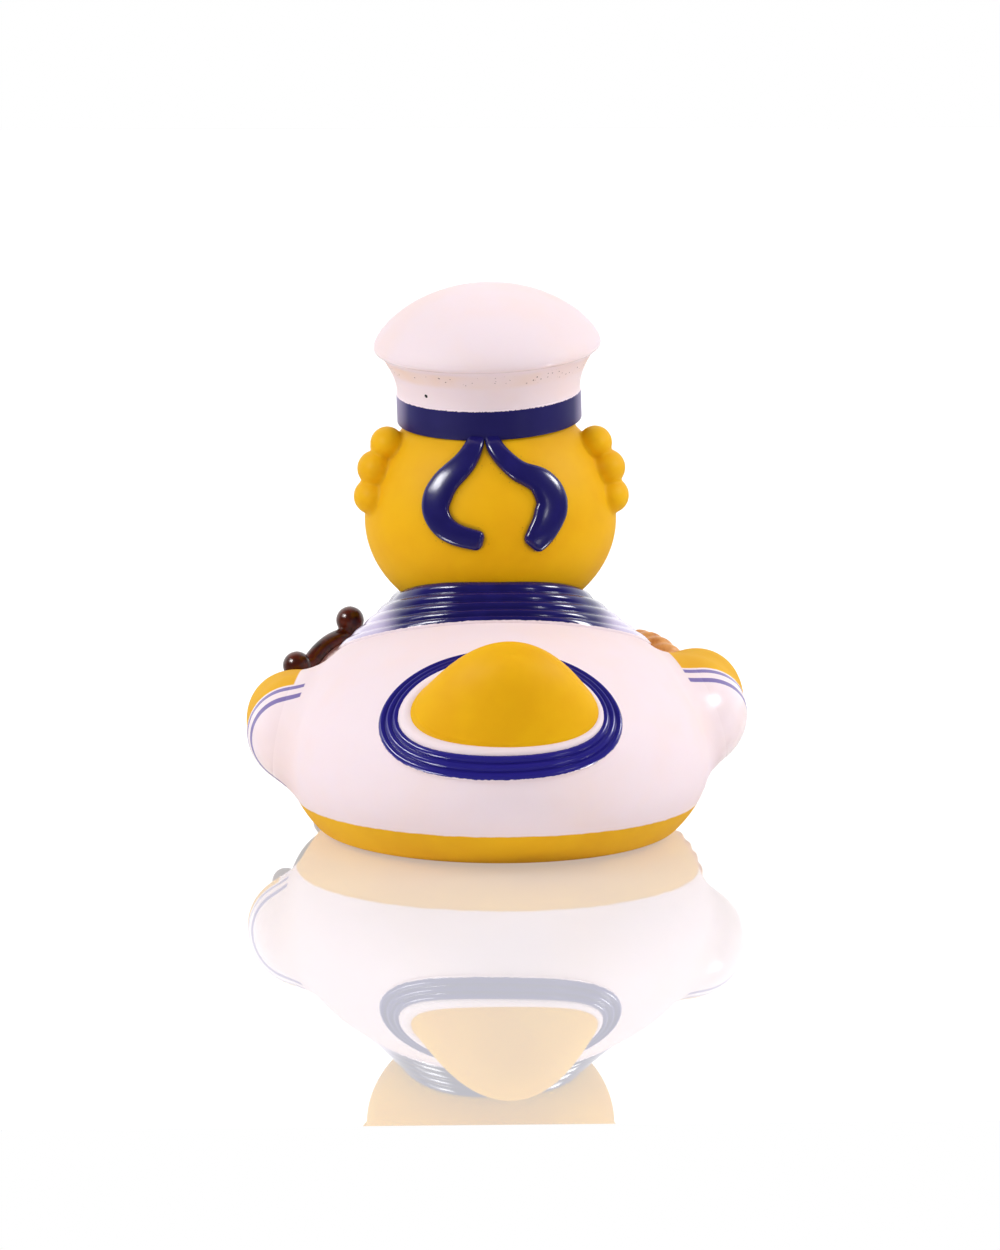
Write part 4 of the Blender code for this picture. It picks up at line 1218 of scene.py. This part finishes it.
wheel_sizes = {
    "Handles": WHEEL_HANDLES, "Turn": WHEEL_HANDLE_TURN, "Handle radius": WHEEL_HANDLE_RADIUS,
    "Rim radius": WHEEL_RIM_RADIUS, "Rim thickness": WHEEL_RIM_THICKNESS, "Knob radius": WHEEL_KNOB_RADIUS,
    "Hub radius": WHEEL_HUB_RADIUS, "Spoke width": WHEEL_SPOKE_WIDTH, "Paint": brown_paint,
}
wheel = cast("wheel", *grown("wheel", ship_wheel, wheel_sizes, wheel_place), 0.24 * MM, 5, brown_paint)

# %% [markdown]
# ## The coil of rope
# Laid rope is three strands that wind round each other. The tree copies a circle three times and
# winds each copy round the same circle with a third of a turn between them, then gives each strand
# its thickness. A whole number of windings lets the coil close on itself.

# %% The rope tree
laid_rope, tree, given, close = new_group(
    "laid_rope",
    "GeometryNodeTree",
    [
        ("Host", GEOMETRY, None), ("Coil radius", FLOAT, 0.012), ("Strands", WHOLE, 3), ("Windings", WHOLE, 11),
        ("Strand radius", FLOAT, 0.0012), ("Lay radius", FLOAT, 0.0011), ("Paint", MATERIAL, None),
    ],
    [("Rope", GEOMETRY)],
)
circle = tree.add("GeometryNodeCurvePrimitiveCircle", {"Resolution": 528, "Radius": given["Coil radius"]})
copies = tree.tree.nodes.new("GeometryNodeDuplicateElements")
copies.domain = "SPLINE"
tree.feed(copies.inputs["Geometry"], circle)
tree.feed(copies.inputs["Amount"], given["Strands"])
along = tree.maths("MULTIPLY", tree.add("GeometryNodeSplineParameter"), given["Windings"])
start = tree.maths("DIVIDE", copies.outputs["Duplicate Index"], given["Strands"])
winding = tree.maths("MULTIPLY", tree.maths("ADD", along, start), math.tau)
outward = tree.vectors("NORMALIZE", tree.add("GeometryNodeInputPosition"))
out_share = tree.maths("MULTIPLY", tree.maths("COSINE", winding), given["Lay radius"])
up_share = tree.maths("MULTIPLY", tree.maths("SINE", winding), given["Lay radius"])
outward = tree.add("ShaderNodeVectorMath", {0: outward, 3: out_share}, operation="SCALE")
shift = tree.vectors("ADD", outward, tree.add("ShaderNodeCombineXYZ", {"Z": up_share}))
wound = tree.add("GeometryNodeSetPosition", {"Geometry": copies.outputs["Geometry"], "Offset": shift})
strands = swept(wound, given["Strand radius"], 14)
strands = tree.add("GeometryNodeRealizeInstances", {"Geometry": strands})
painted_rope = tree.add("GeometryNodeSetMaterial", {"Geometry": strands, "Material": given["Paint"]})
tree.feed(close.inputs["Rope"], painted_rope)

rope_sizes = {
    "Coil radius": COIL_RADIUS, "Strands": 3, "Windings": 11, "Strand radius": ROPE_RADIUS * 0.54,
    "Lay radius": ROPE_RADIUS * 0.5, "Paint": tan_paint,
}
rope_coil = cast("rope_coil", *grown("rope", laid_rope, rope_sizes, coil_place), 0.24 * MM, 3, tan_paint)

# %% [markdown]
# ## The face
# The photograph shows only the duck's back, so its face is a plain guess of the common kind: a wide
# flat bill, slightly open, and two round painted eyes. The bill is two eggs in a field, pressed
# together with a crease between them.

# %% The bill
bill_middle = head_egg.facing(np.array(0.0), np.array(EYE_RISE - 6.5 * MM), -1)
upper_bill = Egg(bill_middle, BEAK_HALF_WIDTH, BEAK_REACH, BEAK_HALF_THICKNESS, BEAK_HALF_THICKNESS * 0.6)
jaw = bill_middle - (0, 0, BEAK_HALF_THICKNESS)
lower_bill = Egg(jaw, BEAK_HALF_WIDTH * 0.78, BEAK_REACH * 0.78, BEAK_HALF_THICKNESS * 0.78, BEAK_HALF_THICKNESS * 0.78)
NOSTRIL_SPREAD = 2.0 * MM
NOSTRIL_RADIUS = 0.55 * MM
nostrils = []
for sign in (1, -1):
    middle = bill_middle + (sign * NOSTRIL_SPREAD, -BEAK_REACH * 0.62, BEAK_HALF_THICKNESS * 0.78)
    nostrils.append(Egg(middle, NOSTRIL_RADIUS * 0.8, NOSTRIL_RADIUS * 1.6, NOSTRIL_RADIUS, NOSTRIL_RADIUS))


def bill_field(points):
    """Upper and lower bill, with the upper one turned up a little towards its tip."""
    forward = np.clip((bill_middle[1] - points[:, 1]) / BEAK_REACH, 0, 1)
    lifted = points - np.stack([0 * forward, 0 * forward, 1.1 * MM * forward**2], -1)
    whole = smooth_min(upper_bill.distance(lifted), lower_bill.distance(points), 0.5 * MM)
    for nostril in nostrils:
        whole = smooth_max(whole, -nostril.distance(lifted), 0.4 * MM)
    return whole


beak = moulding("beak", [egg_seed(upper_bill), egg_seed(lower_bill)], bill_field, 0.28 * MM, orange_paint)

# %% Eyes
eye_paint, tree, shader = new_material("eye paint", 0.12, 0.5)
out = read(tree, "out")
pupil = use(tree, paint_edge, {"Distance": tree.maths("SUBTRACT", 0.62, out), "Raggedness": 0.01, "Grain": 0.5 * MM, "Softness": 0.02})
glint = tree.maths("LESS_THAN", read(tree, "glint"), 0.5 * MM)
colour = tree.mix(pupil, light(245, 242, 240), BLACK)
tree.feed(shader.inputs["Base Color"], tree.mix(glint, colour, light(245, 242, 240)))
tree.feed(shader.inputs["Normal"], use(tree, orange_peel, {"Wave size": 1.5 * MM, "Depth": 0.006 * MM}))


def eye(name, sign):
    """A low painted dome on the front of the head."""
    middle = head_egg.facing(np.array(sign * EYE_SPREAD), np.array(EYE_RISE), -1)
    outward = Vector(head_egg.normal(middle))
    place = Matrix.Translation(Vector(middle)) @ Vector((0, 0, 1)).rotation_difference(outward).to_matrix().to_4x4()
    outline = [(0, -1.6 * MM), (EYE_RADIUS * 0.9, -1.6 * MM), (EYE_RADIUS, -0.4 * MM)]
    for angle in np.linspace(0, math.pi / 2, 24):
        outline.append((EYE_RADIUS * math.cos(angle), EYE_RAISE * math.sin(angle)))
    piece = turned(name, outline, place, eye_paint, around=64)
    points = places(piece.data)
    give(piece, "out", np.linalg.norm(moved(points, place.inverted())[:, :2], axis=1) / EYE_RADIUS)
    spot = middle + np.array((0.75 * MM, 0, 0.85 * MM))
    give(piece, "glint", np.linalg.norm((points - spot)[:, [0, 2]], axis=1))
    return piece


eyes = [eye("eye_left", 1), eye("eye_right", -1)]

# %% [markdown]
# ## Putting it on the frame
# Every piece rides on the one body that the duck has, and together they stand for the one solid.

# %% Ride and replace
pieces = [
    body, head, cap, band, collar, tail_ring, tail_lip, tail, wheel, rope_coil, beak, *eyes,
    *(made[0] for made in ribbons.values()),
]
for piece in pieces:
    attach(piece, "root")
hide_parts("duck")
print(len(pieces), "pieces,", sum(len(p.data.loop_triangles) or 2 * len(p.data.polygons) for p in pieces), "triangles")

# %% [markdown]
# ## Camera
# The photograph was taken from behind the duck, a touch to one side and about eight degrees up,
# with a long lens.

# %% The camera
CAMERA_AZIMUTH = math.radians(177.5)
CAMERA_RISE = math.radians(8.0)
CAMERA_DISTANCE = 1.0
CAMERA_TARGET = Vector((-0.25 * MM, 0, 34.8 * MM))

away = Vector(
    (
        math.sin(CAMERA_AZIMUTH) * math.cos(CAMERA_RISE),
        -math.cos(CAMERA_AZIMUTH) * math.cos(CAMERA_RISE),
        math.sin(CAMERA_RISE),
    )
)
camera_data = bpy.data.cameras.new("camera")
camera_data.lens = 174.5
camera_data.sensor_width = 36.0
camera_data.clip_start = 0.01
camera = bpy.data.objects.new("camera", camera_data)
camera.location = CAMERA_TARGET + away * CAMERA_DISTANCE
camera.rotation_euler = (-away).to_track_quat("-Z", "Y").to_euler()
bpy.context.scene.collection.objects.link(camera)
bpy.context.scene.camera = camera

# %% [markdown]
# ## Floor and light
# The duck stands on a sheet of glossy white acrylic, which mirrors it faintly, before a white
# backdrop. Two softboxes stand either side of the camera, and two strips beside them add only shine,
# which gives the sharp highlights on the navy trim. A small lamp near the camera, the bright sky and
# the sheet, which glows for diffuse light, fill the rest.

# %% The floor
SHEET_FRONT = 0.219
SHEET_HALF_WIDTH = 2.0
SHEET_BACK = 2.0
MIRROR_SHARE = 0.5
SHEET_GLOW = 0.66
SHEET_BOUNCE = 0.42

floor_paint = bpy.data.materials.new("white acrylic")
floor_paint.use_nodes = True
tree = Tree(floor_paint.node_tree)
shader = floor_paint.node_tree.nodes["Principled BSDF"]
shader.inputs["Base Color"].default_value = (0.34, 0.335, 0.34, 1)
shader.inputs["Specular IOR Level"].default_value = 0.0
shader.inputs["Emission Color"].default_value = (1, 1, 1, 1)
path = tree.tree.nodes.new("ShaderNodeLightPath")
glow = tree.maths("MULTIPLY", path.outputs["Is Camera Ray"], SHEET_GLOW)
bounce = tree.maths("MULTIPLY", path.outputs["Is Diffuse Ray"], SHEET_BOUNCE)
tree.feed(shader.inputs["Emission Strength"], tree.maths("ADD", glow, bounce))
mirror = tree.add("ShaderNodeBsdfAnisotropic", {"Color": (1, 1, 1, 1), "Roughness": 0.01})
surface = tree.add("ShaderNodeMixShader", {0: MIRROR_SHARE, 1: shader.outputs["BSDF"], 2: mirror})
tree.feed(floor_paint.node_tree.nodes["Material Output"].inputs["Surface"], surface)
corners = [
    (-SHEET_HALF_WIDTH, -SHEET_BACK, -0.02 * MM), (SHEET_HALF_WIDTH, -SHEET_BACK, -0.02 * MM),
    (SHEET_HALF_WIDTH, SHEET_FRONT, -0.02 * MM), (-SHEET_HALF_WIDTH, SHEET_FRONT, -0.02 * MM),
]
floor_mesh = bpy.data.meshes.new("floor")
floor_mesh.from_pydata(corners, [], [(0, 1, 2, 3)])
floor_mesh.materials.append(floor_paint)
floor = bpy.data.objects.new("floor", floor_mesh)
bpy.context.scene.collection.objects.link(floor)

# %% The backdrop, as the world
SKY_LOW = 0.55
SKY_HIGH = 0.95
BACKDROP = 1.6
DIM_SIDE = 0.05

world = bpy.data.worlds.new("studio")
bpy.context.scene.world = world
world.use_nodes = True
tree = Tree(world.node_tree)
background = world.node_tree.nodes["Background"]
direction = tree.add("ShaderNodeTexCoord", output=0)
toward_back = tree.add("ShaderNodeSeparateXYZ", {"Vector": direction}, 1)
upwards = tree.add("ShaderNodeSeparateXYZ", {"Vector": direction}, 2)
mirrored = tree.ramp(toward_back, -0.55, 0.1, BACKDROP, DIM_SIDE)
fill = tree.ramp(upwards, -0.3, 1.0, SKY_LOW, SKY_HIGH)
path = tree.tree.nodes.new("ShaderNodeLightPath")
strength = tree.blend(path.outputs["Is Glossy Ray"], fill, mirrored)
strength = tree.blend(path.outputs["Is Transmission Ray"], strength, 1.0)
strength = tree.blend(path.outputs["Is Camera Ray"], strength, 1.0)
background.inputs["Color"].default_value = (1, 1, 1, 1)
tree.feed(background.inputs["Strength"], strength)


# %% The lamps
def softbox(name, azimuth, rise, distance, width, height, power, only_shine=False):
    """A rectangular lamp that faces the duck. Azimuth 0 stands where the duck looks, 180 behind it."""
    azimuth, rise = math.radians(azimuth), math.radians(rise)
    out = Vector((math.sin(azimuth) * math.cos(rise), -math.cos(azimuth) * math.cos(rise), math.sin(rise)))
    data = bpy.data.lights.new(name, "AREA")
    data.shape = "RECTANGLE"
    data.size, data.size_y, data.energy = width, height, power
    lamp = bpy.data.objects.new(name, data)
    lamp.location = Vector((0, 0, 0.045)) + out * distance
    lamp.rotation_euler = out.to_track_quat("Z", "Y").to_euler()
    lamp.visible_diffuse = not only_shine
    bpy.context.scene.collection.objects.link(lamp)


softbox("softbox_left", 100, 35, 0.7, 0.16, 0.26, 1.1)
softbox("softbox_right", 264, 35, 0.7, 0.16, 0.26, 1.2)
softbox("small_lamp", 219, 12, 0.8, 0.09, 0.09, 0.35)
softbox("strip_left", 118, 35, 0.7, 0.2, 0.18, 4.0, only_shine=True)
softbox("strip_right", 266, 35, 0.7, 0.2, 0.14, 2.6, only_shine=True)

# %% [markdown]
# ## Close
# The view transform is Standard, so that a colour renders as it is written.

# %% Finish
bpy.context.scene.view_settings.view_transform = "Standard"
